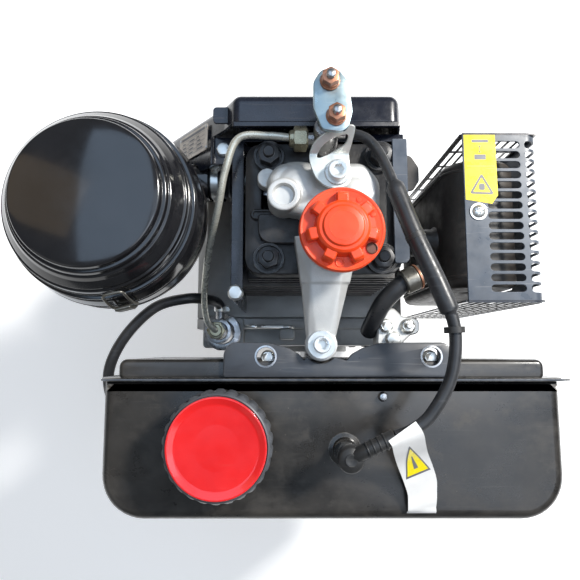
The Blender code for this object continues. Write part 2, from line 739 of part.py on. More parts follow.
def housing_outline():
    """Round the fan below; above it a neck, upright on the right and sloping on the left."""
    points = arc((0, CRANK_Z), 121, 200, 390, 19)
    points += [(84, 292), (72, 330), (63, 384), (58, HOUSING_TOP), (-72, HOUSING_TOP)]
    return points + [(-82, 383), (-150, 300), (-150, 210)]


def cooling_cowl():
    back = HOUSING_Y[0] - GAP
    top = [(-76, -70), (-66, -70), (-66, 63), (64, 63), (64, -38), (67, -38), (67, back), (-76, back)]
    cowl = slab(top, COWL_TOP - 2, COWL_TOP)
    left = block((-76, -74), (-70, back), (228, COWL_TOP - 1))
    right = block((65, 67), (-38, back), (228, COWL_TOP - 1))
    shelf = block((-95, -75), (46, back), (368, 370))
    section = ((-146, 302), (-148, 304), (-91, 368), (-92, 371.5))
    flare = hull([(x, y, z) for y in (46, back) for x, z in section])
    room = cylinder(82, 300, 402, CLEANER)
    join(cowl, left, right, shelf, cut(flare, room))
    cut(cowl, cylinder(17, -140, -70, INTAKE, "X", MIDDLE), cylinder(17, 60, 70, EXHAUST, "X", MIDDLE))
    return finish(cowl, "cooling_cowl", "black_sheet")


def behind_housing(wall):
    """The space behind the housing's upper half, which is shallower than the part round the fan."""
    low = 250
    outer = HOUSING_Y[1] + 1 - wall
    inner = 94 - wall
    return slab([(outer, low), (inner, 283), (inner, 420), (130, 420), (130, low)], -200, 200, "X")


def fan_housing():
    shell = cut(slab(housing_outline(), *HOUSING_Y, "Y"), behind_housing(0))
    room = slab(inset(housing_outline(), SHEET), HOUSING_Y[0] - 2, HOUSING_Y[1] - SHEET, "Y")
    cut(room, behind_housing(SHEET))
    inlet = cylinder(86, HOUSING_Y[1] - 10, HOUSING_Y[1] + 5, (0, CRANK_Z), "Y", LARGE)
    cut(shell, room, inlet)
    return finish(shell, "fan_housing", "black_sheet")


def nameplate():
    """A blank rating plate lying on the sloping side of the housing."""
    slope = Vector((-82 + 150, 0, 383 - 300)).normalized()
    normal = Vector((-slope.z, 0, slope.x))
    foot = Vector((-150, 0, 300))
    corners = []
    for along in (34, 84):
        for y in (61, 85):
            for lift in (1.6, 2.6):
                corners.append(foot + slope * along + normal * lift + Vector((0, y, 0)))
    return finish(hull(corners), "nameplate", "zinc")


def recoil_housing():
    profile = [(157.5, 0), (157.5, 58), (148, 85.5), (HOUSING_Y[1] + GAP, 90), (HOUSING_Y[1] + GAP, 99)]
    profile += [(116, 99), (116, 93), (150, 88.5), (160, 60), (160, 0)]
    shell = turned(profile, (0, CRANK_Z), "Y", LARGE)
    join(shell, cylinder(8, 120, 158.5, (0, CRANK_Z), "Y", SMALL))
    slots = []
    for i in range(10):
        slot = block((62, 80), (145, 170), (CRANK_Z - 4, CRANK_Z + 4))
        slots.append(turn(slot, math.tau * i / 10, "Y", (0, 0, CRANK_Z)))
    rope_hole = cylinder(4, 80, 100, steps=SMALL)
    cut(shell, together(slots), aim(rope_hole, (0, 129, CRANK_Z), handle_direction()))
    return finish(shell, "recoil_housing", "black_sheet")


def starter_pulley(carrier):
    profile = [(122, 8 + GAP), (122, 54), (126, 54), (126, 48)]
    profile += [(132, 48), (132, 54), (136, 54), (136, 8 + GAP)]
    return finish(turned(profile, (0, CRANK_Z), "Y"), "starter_pulley", "black_plastic", carrier)


def handle_direction():
    return (math.cos(HANDLE_ANGLE), 0, math.sin(HANDLE_ANGLE))


def starter_handle(carrier):
    stem = cylinder(7, 101, 114, steps=SMALL)
    join(stem, turned([(-32, 0), (-32, 6), (-28, 9), (28, 9), (32, 6), (32, 0)], (0, 119), "X", SMALL))
    handle = aim(stem, (0, 129, CRANK_Z), handle_direction())
    return finish(handle, "starter_handle", "black_plastic", carrier)


# ---------------------------------------------------------------- intake and exhaust


def intake_elbow():
    return finish(sleeve(11, 14, -99.5, -64.4, INTAKE, "X"), "intake_elbow", "black_plastic")


def air_cleaner_bowl():
    profile = [(314, 0), (314, 44), (319, 60), (330, 76), (346, 80), (372, 80), (384, 76.5), (392, 74)]
    profile += [(392, 71), (384, 73.5), (372, 77), (346, 77), (332, 73.5), (322, 58), (317, 43), (317, 0)]
    bowl = turned(profile, CLEANER, steps=LARGE)
    boss = cylinder(15.5, -125, -99.8, INTAKE, "X", MIDDLE)
    join(bowl, cut(boss, cylinder(78.5, 300, 400, CLEANER, steps=LARGE)))
    return finish(bowl, "air_cleaner_bowl", "black_sheet")


def air_cleaner_cover(carrier):
    profile = [(429.5, 0), (427.5, 34), (423.5, 52), (418, 57.5), (411, 61.5), (406, 67), (402, 70.5)]
    profile += [(392.4, 70.5), (392.4, 73), (396, 74), (404, 73.2), (409, 69.5), (413, 65), (421, 61)]
    profile += [(427, 55), (431, 35), (432, 0)]
    return finish(turned(profile, CLEANER, steps=LARGE), "air_cleaner_cover", "black_sheet", carrier)


def air_filter_element():
    return finish(sleeve(32, 52, 324, 408, CLEANER, steps=MIDDLE), "air_filter_element", "paper")


def air_cleaner_clip(carrier):
    x, y = CLEANER
    clip = block((x + 82, x + 86), (y - 8, y + 8), (362, 398), 1)
    hook = block((x + 76, x + 86), (y - 6, y + 6), (404, 407), 1)
    neck = block((x + 83, x + 86), (y - 6, y + 6), (396, 406), 1)
    join(clip, neck, hook)
    return finish(turn(clip, CLIP_ANGLE, "Z", (*CLEANER, 0)), "air_cleaner_clip", "zinc", carrier)


def muffler():
    body = block((101, 161), (-60, 46), (196, 384), 24, "Y")
    inlet = cylinder(12, 62.4, 110, EXHAUST, "X", MIDDLE)
    outlet = cylinder(10, 178, 200, (134, -30), steps=MIDDLE)
    join(body, inlet, outlet)
    cut(body, cylinder(8, 170, 205, (134, -30), steps=SMALL))
    return finish(body, "muffler", "black_sheet")


def muffler_guard():
    section = [(108, 398), (160, 398), (166, 392), (166, 160), (168, 160), (168, 393), (161, 400), (108, 400)]
    guard = slab(section, -74, 61, "Y")
    walls = []
    for low in (-74, 59):
        walls.append(block((108.5, 167), (low, low + 2), (182, 399)))
    join(guard, *walls)
    pitch = 8.2
    slots = [block((120, 150), (y, y + 5), (394, 404)) for y in (-67 + pitch * i for i in range(15))]
    cut(guard, together(slots))
    return finish(guard, "muffler_guard", "black_sheet")


# ---------------------------------------------------------------- fuel tank


def fuel_tank():
    outline = [(TANK_X[1], TANK_Y[1]), (TANK_X[0], TANK_Y[1])]
    outline += arc((TANK_X[0] + 34, TANK_Y[0] + 34), 34, 180, 270, 5)
    outline += arc((TANK_X[1] - 34, TANK_Y[0] + 34), 34, 270, 360, 5)
    tank = slab(outline, *TANK_Z)
    back = block((-163, 172), (-134, -117), (255, TANK_Z[1] - 0.5), 8)
    flange = block((-179.5, 190), (-134.5, -131.5), (TANK_Z[0] - 6, TANK_Z[1] + 4), 20, "Y")
    neck = cylinder(33, 375, 398, FILLER)
    elbow_seat = cylinder(9, 378, 389.7, RETURN_SEAT, steps=SMALL)
    spigot = cylinder(4, 232, 250, (-150, -180), steps=SMALL)
    join(tank, back, flange, neck, elbow_seat, spigot)
    room = slab(inset(outline, SHEET), TANK_Z[0] + SHEET, TANK_Z[1] - SHEET)
    back_room = block((-159, 168), (-140, -119.5), (258, TANK_Z[1] - SHEET - 1), 6)
    cut(tank, room, back_room, cylinder(29, 370, 402, FILLER))
    return finish(tank, "fuel_tank", "black_sheet")


def tank_bracket():
    low = TANK_Z[1] + GAP
    plate = block((-80, 99), (-131, -104), (low, low + 4), 6)
    notch = block((LUG[0] - 14, LUG[0] + 14), (LUG[1], -95), (low - 2, low + 6))
    holes = [cylinder(7, low - 2, low + 6, (x, -115), steps=SMALL) for x in (-47, 82)]
    cut(plate, cylinder(14, low - 2, low + 6, LUG, steps=MIDDLE), notch, *holes)
    return finish(plate, "tank_bracket", "painted_casting")


def fuel_cap(carrier):
    profile = [(400.4, 0), (400.4, 35), (398.6, 35), (398.6, 39.5)]
    profile += [(419, 39.5), (421, 38), (425, 37), (425, 0)]
    return finish(turned(profile, FILLER, steps=LARGE), "fuel_cap", "red_plastic", carrier)


def fuel_cap_seal(carrier):
    """The cap's inner collar, which goes down into the neck, with its sealing rim."""
    profile = [(390, 22), (390, 27.5), (398.3, 27.5), (398.3, 33), (400.1, 33), (400.1, 22)]
    return finish(turned(profile, FILLER, steps=MIDDLE), "fuel_cap_seal", "rubber", carrier)


def return_elbow():
    route = [(*RETURN_SEAT, 390), (*RETURN_SEAT, 408), (16, -184.5, 418), (26, -178.5, 424), (44, -170, 425)]
    elbow = as_mesh(tube(route, 5.5, 4))
    join(elbow, cylinder(9.5, 411, 425, RETURN_SEAT, steps=SMALL))
    return finish(elbow, "return_elbow", "rubber")


def return_hose():
    leak = injector_point(406)
    route = [(15.8, leak[1], 406), (21, leak[1], 406), (33, 50, 410), (44, 29, 415), (62, -27, 425)]
    route += [(78, -68, 430), (87, -96, 430), (84, -128, 428), (70, -154, 426), (57, -165, 425)]
    route += [(44.9, -169.6, 425)]

    def thick(share):
        """The radius factor, larger under the protecting sleeve."""
        return 1.75 if 0.33 < share < 0.56 else 1.0

    return finish(tube(route, 4, 3, 2, thick), "return_hose", "rubber")


def fuel_hose():
    route = [(PUMP[0], PUMP[1] + 20.6, 258), (PUMP[0], PUMP[1] + 25, 259), (-101, -62, 268)]
    route += [(-108, -61, 286), (-126, -61, 298), (-156, -70, 301), (-184, -98, 300), (-199, -130, 296)]
    route += [(-200, -160, 276), (-192, -178, 246), (-174, -184, 222), (-156, -181, 212)]
    route += [(-150, -180, 222), (-150, -180, 231.5)]
    return finish(tube(route, 5.2, 3), "fuel_hose", "rubber")


def speed_lever(carrier):
    x, y, z = LEVER_PIVOT
    ring = cylinder(9, y - 1.5, y + 1.5, (x - 35, z + 8), "Y", MIDDLE)
    arm = hull([(px, py, pz) for py in (y - 1.5, y + 1.5)
                for px, pz in ((x, z - 6), (x, z + 6), (x - 30, z + 2), (x - 29, z + 12))])
    eye = cylinder(8, y - 1.5, y + 1.5, (x, z), "Y", MIDDLE)
    join(eye, arm, ring)
    cut(eye, cylinder(5, y - 4, y + 4, (x - 35, z + 8), "Y", SMALL))
    return finish(eye, "speed_lever", "zinc", carrier)


# ---------------------------------------------------------------- assembly


def build_crank_train():
    crank = pivot("crank_axis", (0, 0, CRANK_Z))
    cam = pivot("cam_axis", (CAM_X, 0, CAM_Z))
    stroke = pivot("piston_axis", (0, CYLINDER_Y, PIN_Z))
    crankcase()
    crankcase_cover()
    main_bearing("main_bearing_rear", 40.3, 56)
    main_bearing("main_bearing_front", -96.7, -80)
    crankshaft(crank)
    flywheel(crank)
    starter_cup(crank)
    camshaft(cam)
    piston(stroke)
    piston_pin(stroke)
    connecting_rod(stroke)
    oil_dipstick(pivot("dipstick_axis", DIPSTICK))


def build_top_end():
    cylinder_barrel()
    cylinder_head()
    for side, y in (("inlet", INLET_Y), ("exhaust", EXHAUST_Y)):
        pushrod(f"pushrod_{side}", y, pivot(f"pushrod_{side}_axis", (PUSHROD_LOW[0], y, PUSHROD_LOW[1])))
        rocker(f"rocker_{side}", y, pivot(f"rocker_{side}_axis", (ROCKER_X, y, ROCKER_Z)))
        valve(f"valve_{side}", y, pivot(f"valve_{side}_axis", (VALVE_X, y, ROCKER_Z)))
        valve_spring(f"valve_spring_{side}", y)
    finish(cylinder(8, -22, 31, (ROCKER_X, ROCKER_Z), "Y", MIDDLE), "rocker_shaft", "steel")
    places = [(x, y) for x in (-NUT_X, NUT_X) for y in (CYLINDER_Y - NUT_Y, CYLINDER_Y + NUT_Y)]
    for number, (x, y) in enumerate(places, 1):
        head_nut(number, x, y)
    rocker_cover()
    rocker_cover_screw()
    lifting_bracket()
    lifting_bracket_screw()
    bracket_plate()
    plate_nut("plate_nut_rear", PLATE_STUDS[0], HOUSING_TOP + GAP)
    plate_nut("plate_nut_front", PLATE_STUDS[1], 440)
    injector()
    injection_pump()
    injection_pipe()
    oil_cap = pivot("oil_cap_axis", (*OIL_NECK, 432))
    oil_cap_seal(oil_cap)
    oil_filler_cap(pivot("oil_cap_turn_axis", (*OIL_NECK, 434), oil_cap))


def build_covers():
    cooling_cowl()
    fan_housing()
    nameplate()
    recoil_housing()
    starter_pulley(pivot("pulley_axis", (0, 129, CRANK_Z)))
    starter_handle(pivot("handle_axis", (0, 129, CRANK_Z)))
    intake_elbow()
    air_cleaner_bowl()
    air_cleaner_cover(pivot("cleaner_axis", (*CLEANER, 392)))
    air_filter_element()
    hinge = (CLEANER[0] + 84 * math.cos(CLIP_ANGLE), CLEANER[1] + 84 * math.sin(CLIP_ANGLE), 364)
    air_cleaner_clip(pivot("clip_axis", hinge))
    muffler()
    muffler_guard()


def build_fuel_system():
    fuel_tank()
    tank_bracket()
    cap = pivot("fuel_cap_axis", (*FILLER, 398))
    fuel_cap_seal(cap)
    fuel_cap(pivot("fuel_cap_turn_axis", (*FILLER, 400), cap))
    return_elbow()
    return_hose()
    fuel_hose()
    speed_lever(pivot("lever_axis", LEVER_PIVOT))


def main():
    for item in list(bpy.data.objects):
        bpy.data.objects.remove(item, do_unlink=True)
    build_crank_train()
    build_top_end()
    build_covers()
    build_fuel_system()


main()
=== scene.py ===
"""Looks of the small single-cylinder engine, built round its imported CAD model.

Sizes below are in millimetres, as in the CAD model, and become metres as each mesh is made.
"""

import math

import bmesh
import bpy
from mathutils import Matrix, Vector


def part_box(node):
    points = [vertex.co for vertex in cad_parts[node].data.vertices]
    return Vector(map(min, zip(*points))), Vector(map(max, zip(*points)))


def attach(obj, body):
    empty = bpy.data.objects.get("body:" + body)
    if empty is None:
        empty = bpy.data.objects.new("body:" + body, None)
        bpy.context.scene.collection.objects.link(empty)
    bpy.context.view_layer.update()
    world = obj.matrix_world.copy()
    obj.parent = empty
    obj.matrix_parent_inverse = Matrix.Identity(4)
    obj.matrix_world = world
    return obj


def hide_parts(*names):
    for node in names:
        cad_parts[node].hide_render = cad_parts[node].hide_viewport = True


MM = 0.001
RING = 96  # steps round a large turned piece
SMALL_RING = 40
WELD = 2e-6  # points nearer than this are one, in metres
THREAD_PITCH = 0.85
ROOM = 200.0  # how far a cutting shape reaches past the engine

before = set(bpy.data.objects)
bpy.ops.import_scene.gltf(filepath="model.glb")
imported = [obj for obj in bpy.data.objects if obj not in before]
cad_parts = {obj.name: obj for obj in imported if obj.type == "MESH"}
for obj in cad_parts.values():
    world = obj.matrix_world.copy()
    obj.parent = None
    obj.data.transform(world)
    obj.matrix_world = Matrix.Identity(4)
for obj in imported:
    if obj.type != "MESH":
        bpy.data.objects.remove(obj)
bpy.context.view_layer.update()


# ---------------------------------------------------------------- places, read from the CAD model


def node_box(node):
    """A node's lowest and highest corner, in millimetres."""
    low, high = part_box(node)
    return low / MM, high / MM


def node_middle(node):
    low, high = node_box(node)
    return (low + high) / 2


CLEANER = tuple(node_middle("air_cleaner_cover"))[:2]
FILLER = tuple(node_middle("fuel_cap"))[:2]
OIL_NECK = tuple(node_middle("oil_cap_seal"))[:2]
LUG = tuple(node_middle("rocker_cover_screw"))[:2]
RETURN_SEAT = (14.0, -186.0)
TANK_SPIGOT = (-150, -180)
PUMP = (-99, -91)
INJECTOR_FOOT = Vector((0, 37, 326))
INJECTOR_LINE = Vector((0, 29, 114)).normalized()
LIFTING_SCREW = (7, 21)
PLATE_STUDS = [tuple(node_middle(node))[:2] for node in ("plate_nut_rear", "plate_nut_front")]
CRANK_Z = node_middle("main_bearing_rear").z
TANK_LOW, TANK_HIGH = node_box("fuel_tank")
HOUSING_LOW, HOUSING_HIGH = node_box("fan_housing")
GUARD_LOW, GUARD_HIGH = node_box("muffler_guard")
RECOIL_LOW, RECOIL_HIGH = node_box("recoil_housing")
HEAD_TOP = node_box("cylinder_head")[1].z
TANK_TOP = node_box("tank_bracket")[0].z - 0.3


# ---------------------------------------------------------------- modelling tools


def to_world(axis, a, b, t):
    """A point (a, b) of an outline, t along its axis."""
    return Vector({"Z": (a, b, t), "Y": (a, t, b), "X": (t, a, b)}[axis]) * MM


def make_object(bm):
    bmesh.ops.recalc_face_normals(bm, faces=bm.faces)
    mesh = bpy.data.meshes.new("shape")
    bm.to_mesh(mesh)
    bm.free()
    made = bpy.data.objects.new("shape", mesh)
    bpy.context.collection.objects.link(made)
    return made


def fillet(points, radius, steps=5, closed=True):
    """The same corners, rounded. radius is one number or one for each corner."""
    out = []
    count = len(points)
    for i, point in enumerate(points):
        size = radius[i] if isinstance(radius, (list, tuple)) else radius
        if size <= 0 or (not closed and i in (0, count - 1)):
            out.append(tuple(point))
            continue
        corner = Vector(point)
        before = Vector(points[i - 1]) - corner
        after = Vector(points[(i + 1) % count]) - corner
        limit = 0.48 * min(before.length, after.length)
        before.normalize()
        after.normalize()
        angle = math.acos(max(-1.0, min(1.0, before.dot(after))))
        if angle > math.pi - 0.02:
            out.append(tuple(point))
            continue
        run = min(size / math.tan(angle / 2), limit)
        reach = run * math.tan(angle / 2)
        centre = corner + (before + after).normalized() * (reach / math.sin(angle / 2))
        start = corner + before * run - centre
        end = corner + after * run - centre
        for k in range(steps + 1):
            t = k / steps
            spread = start.angle(end)
            if spread < 1e-6:
                out.append(tuple(centre + start))
                continue
            spoke = (start * math.sin((1 - t) * spread) + end * math.sin(t * spread)) / math.sin(spread)
            out.append(tuple(centre + spoke))
    return out


def slab(outline, low, high, axis="Z"):
    """An outline pushed out along an axis, from low to high."""
    bm = bmesh.new()
    rings = [[bm.verts.new(to_world(axis, a, b, t)) for a, b in outline] for t in (low, high)]
    bm.faces.new(rings[0])
    bm.faces.new(rings[1])
    for i in range(len(outline)):
        j = (i + 1) % len(outline)
        bm.faces.new((rings[0][i], rings[0][j], rings[1][j], rings[1][i]))
    return make_object(bm)


def turned(profile, centre=(0.0, 0.0), axis="Z", steps=RING, ripple=None):
    """A profile of (height, radius) points turned round an axis. ripple changes a radius at an angle."""
    bm = bmesh.new()
    rows = []
    for height, radius in profile:
        row = []
        for i in range(steps if radius > 0 else 1):
            angle = math.tau * i / steps
            reach = ripple(radius, height, angle) if ripple else radius
            place = (centre[0] + reach * math.cos(angle), centre[1] + reach * math.sin(angle))
            row.append(bm.verts.new(to_world(axis, *place, height)))
        rows.append(row)
    pairs = list(zip(rows, rows[1:]))
    if profile[0][1] > 0:
        pairs.append((rows[-1], rows[0]))
    for near, far in pairs:
        for i in range(steps):
            j = (i + 1) % steps
            corners = (near[i % len(near)], near[j % len(near)], far[j % len(far)], far[i % len(far)])
            corners = tuple(dict.fromkeys(corners))
            if len(corners) > 2:
                bm.faces.new(corners)
    return make_object(bm)


def cylinder(radius, low, high, centre=(0.0, 0.0), axis="Z", steps=SMALL_RING):
    return turned([(low, 0), (low, radius), (high, radius), (high, 0)], centre, axis, steps)


def sleeve(inner, outer, low, high, centre=(0.0, 0.0), axis="Z", steps=SMALL_RING):
    return turned([(low, inner), (low, outer), (high, outer), (high, inner)], centre, axis, steps)


def hull(points):
    bm = bmesh.new()
    for point in points:
        bm.verts.new(Vector(point) * MM)
    bmesh.ops.convex_hull(bm, input=bm.verts)
    return make_object(bm)


def box_outline(x0, x1, y0, y1, radius=0.0, steps=6):
    corners = [(x0, y0), (x1, y0), (x1, y1), (x0, y1)]
    return fillet(corners, radius, steps) if radius else corners


def block(x, y, z, radius=0.0):
    """A box between two values on each axis, its upright edges rounded."""
    return slab(box_outline(*x, *y, radius), *z)


def arc(centre, radius, start, end, steps):
    """Points on an arc, its angles in degrees."""
    points = []
    for i in range(steps + 1):
        angle = math.radians(start + (end - start) * i / steps)
        points.append((centre[0] + radius * math.cos(angle), centre[1] + radius * math.sin(angle)))
    return points


def inset(outline, distance):
    """The same anticlockwise outline with every side moved inwards."""
    points = [Vector(p) for p in outline]
    moved = []
    for i, point in enumerate(points):
        before = (point - points[i - 1]).normalized()
        after = (points[(i + 1) % len(points)] - point).normalized()
        normals = Vector((-before.y, before.x)), Vector((-after.y, after.x))
        shift = (normals[0] + normals[1]) / (1 + normals[0].dot(normals[1]))
        moved.append(tuple(point + shift * distance))
    return moved


def settled(shape):
    """The shape with its modifiers applied and the points that lie on each other made one."""
    bpy.context.view_layer.update()
    graph = bpy.context.evaluated_depsgraph_get()
    mesh = bpy.data.meshes.new_from_object(shape.evaluated_get(graph))
    bm = bmesh.new()
    bm.from_mesh(mesh)
    bmesh.ops.remove_doubles(bm, verts=bm.verts, dist=WELD)
    bmesh.ops.dissolve_degenerate(bm, dist=WELD, edges=bm.edges)
    bm.to_mesh(mesh)
    bm.free()
    if shape.type == "MESH":
        shape.modifiers.clear()
        shape.data = mesh
        return shape
    made = bpy.data.objects.new(shape.name, mesh)
    bpy.context.collection.objects.link(made)
    bpy.data.objects.remove(shape, do_unlink=True)
    return made


def combine(target, tools, operation):
    """A Boolean of the target with each tool, which is used up."""
    for tool in tools:
        step = target.modifiers.new(tool.name, "BOOLEAN")
        step.operation = operation
        step.object = tool
    settled(target)
    for tool in tools:
        bpy.data.objects.remove(tool, do_unlink=True)
    return target


def join(target, *tools):
    return combine(target, tools, "UNION")


def cut(target, *tools):
    return combine(target, tools, "DIFFERENCE")


def together(shapes):
    """Several separate shapes as one mesh."""
    bm = bmesh.new()
    for shape in shapes:
        bm.from_mesh(shape.data)
        bpy.data.objects.remove(shape, do_unlink=True)
    return make_object(bm)


def move(shape, matrix):
    shape.data.transform(matrix)
    return shape


def shift(shape, x=0.0, y=0.0, z=0.0):
    return move(shape, Matrix.Translation(Vector((x, y, z)) * MM))


def turn(shape, angle, axis):
    return move(shape, Matrix.Rotation(angle, 4, axis))


def aim(shape, foot, direction):
    """Stands a shape that was made along +Z on a point, along a direction."""
    lean = Vector((0, 0, 1)).rotation_difference(Vector(direction)).to_matrix().to_4x4()
    return move(shape, Matrix.Translation(Vector(foot) * MM) @ lean)


def between(a, b, c, d, t):
    """A point from b to c, a share t of the way, on the smooth curve through all four."""
    return 0.5 * (2 * b + (c - a) * t + (2 * a - 5 * b + 4 * c - d) * t**2 + (3 * b - a - 3 * c + d) * t**3)


def smooth_route(points, steps):
    """Points on a smooth curve through a route's own points."""
    knots = [Vector(p) for p in points]
    knots = [2 * knots[0] - knots[1]] + knots + [2 * knots[-1] - knots[-2]]
    route = []
    for a, b, c, d in zip(knots, knots[1:], knots[2:], knots[3:]):
        for i in range(steps):
            route.append(between(a, b, c, d, i / steps))
    return route + [knots[-2]]


def tube(points, radius, steps=8, sides=6, swell=None):
    """A round bar along a smooth route. swell gives the radius factor at each share of the way."""
    route = smooth_route(points, steps)
    data = bpy.data.curves.new("route", "CURVE")
    data.dimensions = "3D"
    data.bevel_depth = radius * MM
    data.bevel_resolution = sides
    data.use_fill_caps = True
    spline = data.splines.new("POLY")
    spline.points.add(len(route) - 1)
    for i, point in enumerate(route):
        spline.points[i].co = (*(point * MM), 1)
        if swell:
            spline.points[i].radius = swell(i / (len(route) - 1))
    made = bpy.data.objects.new("route", data)
    bpy.context.collection.objects.link(made)
    return settled(made)


def melted(shape, voxel, smooth):
    """Overlapping solids run together with soft inner corners, as in a casting."""
    step = shape.modifiers.new("melt", "REMESH")
    step.mode = "VOXEL"
    step.voxel_size = voxel * MM
    soft = shape.modifiers.new("soft", "SMOOTH")
    soft.iterations = smooth
    soft.factor = 0.5
    return settled(shape)


def hex_head(across, low, high, foot=(0, 0, 0), direction=(0, 0, 1), both=False, turn_by=0.0):
    """A hexagon of a nut or bolt with its corners chamfered by a cone. low and high are along direction."""
    flat = across / 2
    steps = 72
    slope = math.tan(math.radians(30))
    bm = bmesh.new()
    rows = [[], [], [], []]
    for i in range(steps):
        angle = math.tau * i / steps
        part = (angle % (math.pi / 3)) - math.pi / 6
        reach = flat / math.cos(part)
        drop = max(0.0, reach - flat * 0.98) * slope
        spin = angle + turn_by
        rows[0].append((flat * 0.96, low, spin))
        rows[1].append((reach, low + (drop if both else 0.0), spin))
        rows[2].append((reach, high - drop, spin))
        rows[3].append((flat * 0.96, high, spin))
    made_rows = [[bm.verts.new(Vector((r * math.cos(a), r * math.sin(a), z)) * MM) for r, z, a in row]
                 for row in rows]
    for near, far in zip(made_rows, made_rows[1:]):
        for i in range(steps):
            j = (i + 1) % steps
            bm.faces.new((near[i], near[j], far[j], far[i]))
    bm.faces.new(made_rows[0])
    bm.faces.new(made_rows[-1])
    return aim(make_object(bm), foot, direction)


def washer(radius, low, high, foot):
    edge = min(0.4, (high - low) / 3)
    outer = [(low, 0), (low, radius - edge), (low + edge, radius), (high - edge, radius), (high, radius - edge),
             (high, 0)]
    return aim(turned(outer, steps=SMALL_RING), foot, (0, 0, 1))


def threaded(radius, root, tip, low, high, end):
    """The profile of a stud, its thread between two heights and its end narrowed to the radius tip."""
    profile = [(low, 0)]
    level = low
    while level < high:
        profile += [(level, radius), (level + 0.4, root), (level + 0.8, radius)]
        level += THREAD_PITCH
    return profile + [(end, tip), (end, 0)]


def bolt(across, foot, direction=(0, 0, 1), height=None, flange=0.0, stud=0.0, thread=0.0):
    """A hexagon bolt head or nut on a washer face, with a stud's end if wanted."""
    height = height or across * 0.5
    shapes = [hex_head(across, 1.2 if flange else 0.0, height, foot, direction)]
    if flange:
        profile = [(0, 0), (0, flange), (1.0, flange), (2.4, across * 0.52), (2.4, 0)]
        shapes.append(aim(turned(profile, steps=SMALL_RING), foot, direction))
    if stud:
        end = height + thread
        ridge = threaded(stud, stud - 0.3, stud - 0.8, height - 1.0, end - 0.9, end)
        shapes.append(aim(turned(ridge, steps=28), foot, direction))
    return together(shapes)


def socket_screw(radius, foot, direction=(0, 0, 1), height=8.0, key=3.2):
    """A socket-head screw with its hexagon recess and knurl."""
    profile = [(0, 0), (0, radius)] + fillet([(0, radius), (height, radius), (height, key * 1.3)], 0.7, 4, False)[1:]
    profile += [(height - 0.3, key * 1.15)]

    def knurl(reach, level, angle):
        return reach * (1 + (0.018 if math.sin(angle * 40) > 0 and 0.5 < level < height - 1 and reach > radius * 0.99
                             else 0.0))
    head = turned(profile + [(height - 0.3, 0)], steps=160, ripple=knurl)
    hexagon = arc((0, 0), key * 1.12, 0, 300, 5)
    cut(head, slab(hexagon, height * 0.45, height + 2))
    return aim(head, foot, direction)


def phillips_screw(radius, foot):
    """A domed screw head with a cross cut into it."""
    height = 2.6
    profile = [(0, 0), (0, radius), (0.5, radius)]
    profile += [(height * math.sin(a), radius * math.cos(a) * 0.98) for a in (0.4, 0.7, 1.0, 1.25, 1.45)]
    profile.append((height, 0))
    head = turned(profile, steps=48)
    cross = [block((-radius * 0.5, radius * 0.5), (-0.55, 0.55), (height - 1.3, height + 1)),
             block((-0.55, 0.55), (-radius * 0.5, radius * 0.5), (height - 1.3, height + 1))]
    cut(head, join(*cross))
    return aim(head, foot, (0, 0, 1))


# ---------------------------------------------------------------- materials


class Graph:
    """A material's node tree, built in short calls."""

    def __init__(self, name):
        self.material = bpy.data.materials.new(name)
        self.material.use_nodes = True
        self.tree = self.material.node_tree
        self.tree.nodes.clear()
        self.place = self.add("TexCoord").outputs["Object"]

    def add(self, kind, settings=None, **sockets):
        node = self.tree.nodes.new("ShaderNode" + kind)
        for key, value in (settings or {}).items():
            setattr(node, key, value)
        for key, value in sockets.items():
            socket = node.inputs[int(key[1:])] if key[1:].isdigit() else node.inputs[key.replace("_", " ")]
            if isinstance(value, bpy.types.NodeSocket):
                self.tree.links.new(value, socket)
            else:
                socket.default_value = value
        return node

    def noise(self, scale, detail=4.0, rough=0.55, stretch=None, lean=0.0):
        place = self.place
        if stretch:
            place = self.add("Mapping", Vector=place, Scale=stretch, Rotation=(lean * 0.3, lean * 0.2, lean)).outputs[0]
        return self.add("TexNoise", Vector=place, Scale=scale, Detail=detail, Roughness=rough).outputs["Fac"]

    def ramp(self, value, low, high, out_low=0.0, out_high=1.0):
        return self.add("MapRange", {"clamp": True}, i0=value, i1=low, i2=high, i3=out_low, i4=out_high).outputs[0]

    def mix(self, factor, a, b):
        """A colour between a and b."""
        node = self.add("Mix", {"data_type": "RGBA"}, i0=factor)
        for socket, value in ((node.inputs[6], a), (node.inputs[7], b)):
            if isinstance(value, bpy.types.NodeSocket):
                self.tree.links.new(value, socket)
            else:
                socket.default_value = (*value, 1.0) if len(value) == 3 else value
        return node.outputs[2]

    def math(self, operation, a, b=0.0):
        return self.add("Math", {"operation": operation}, i0=a, i1=b).outputs[0]


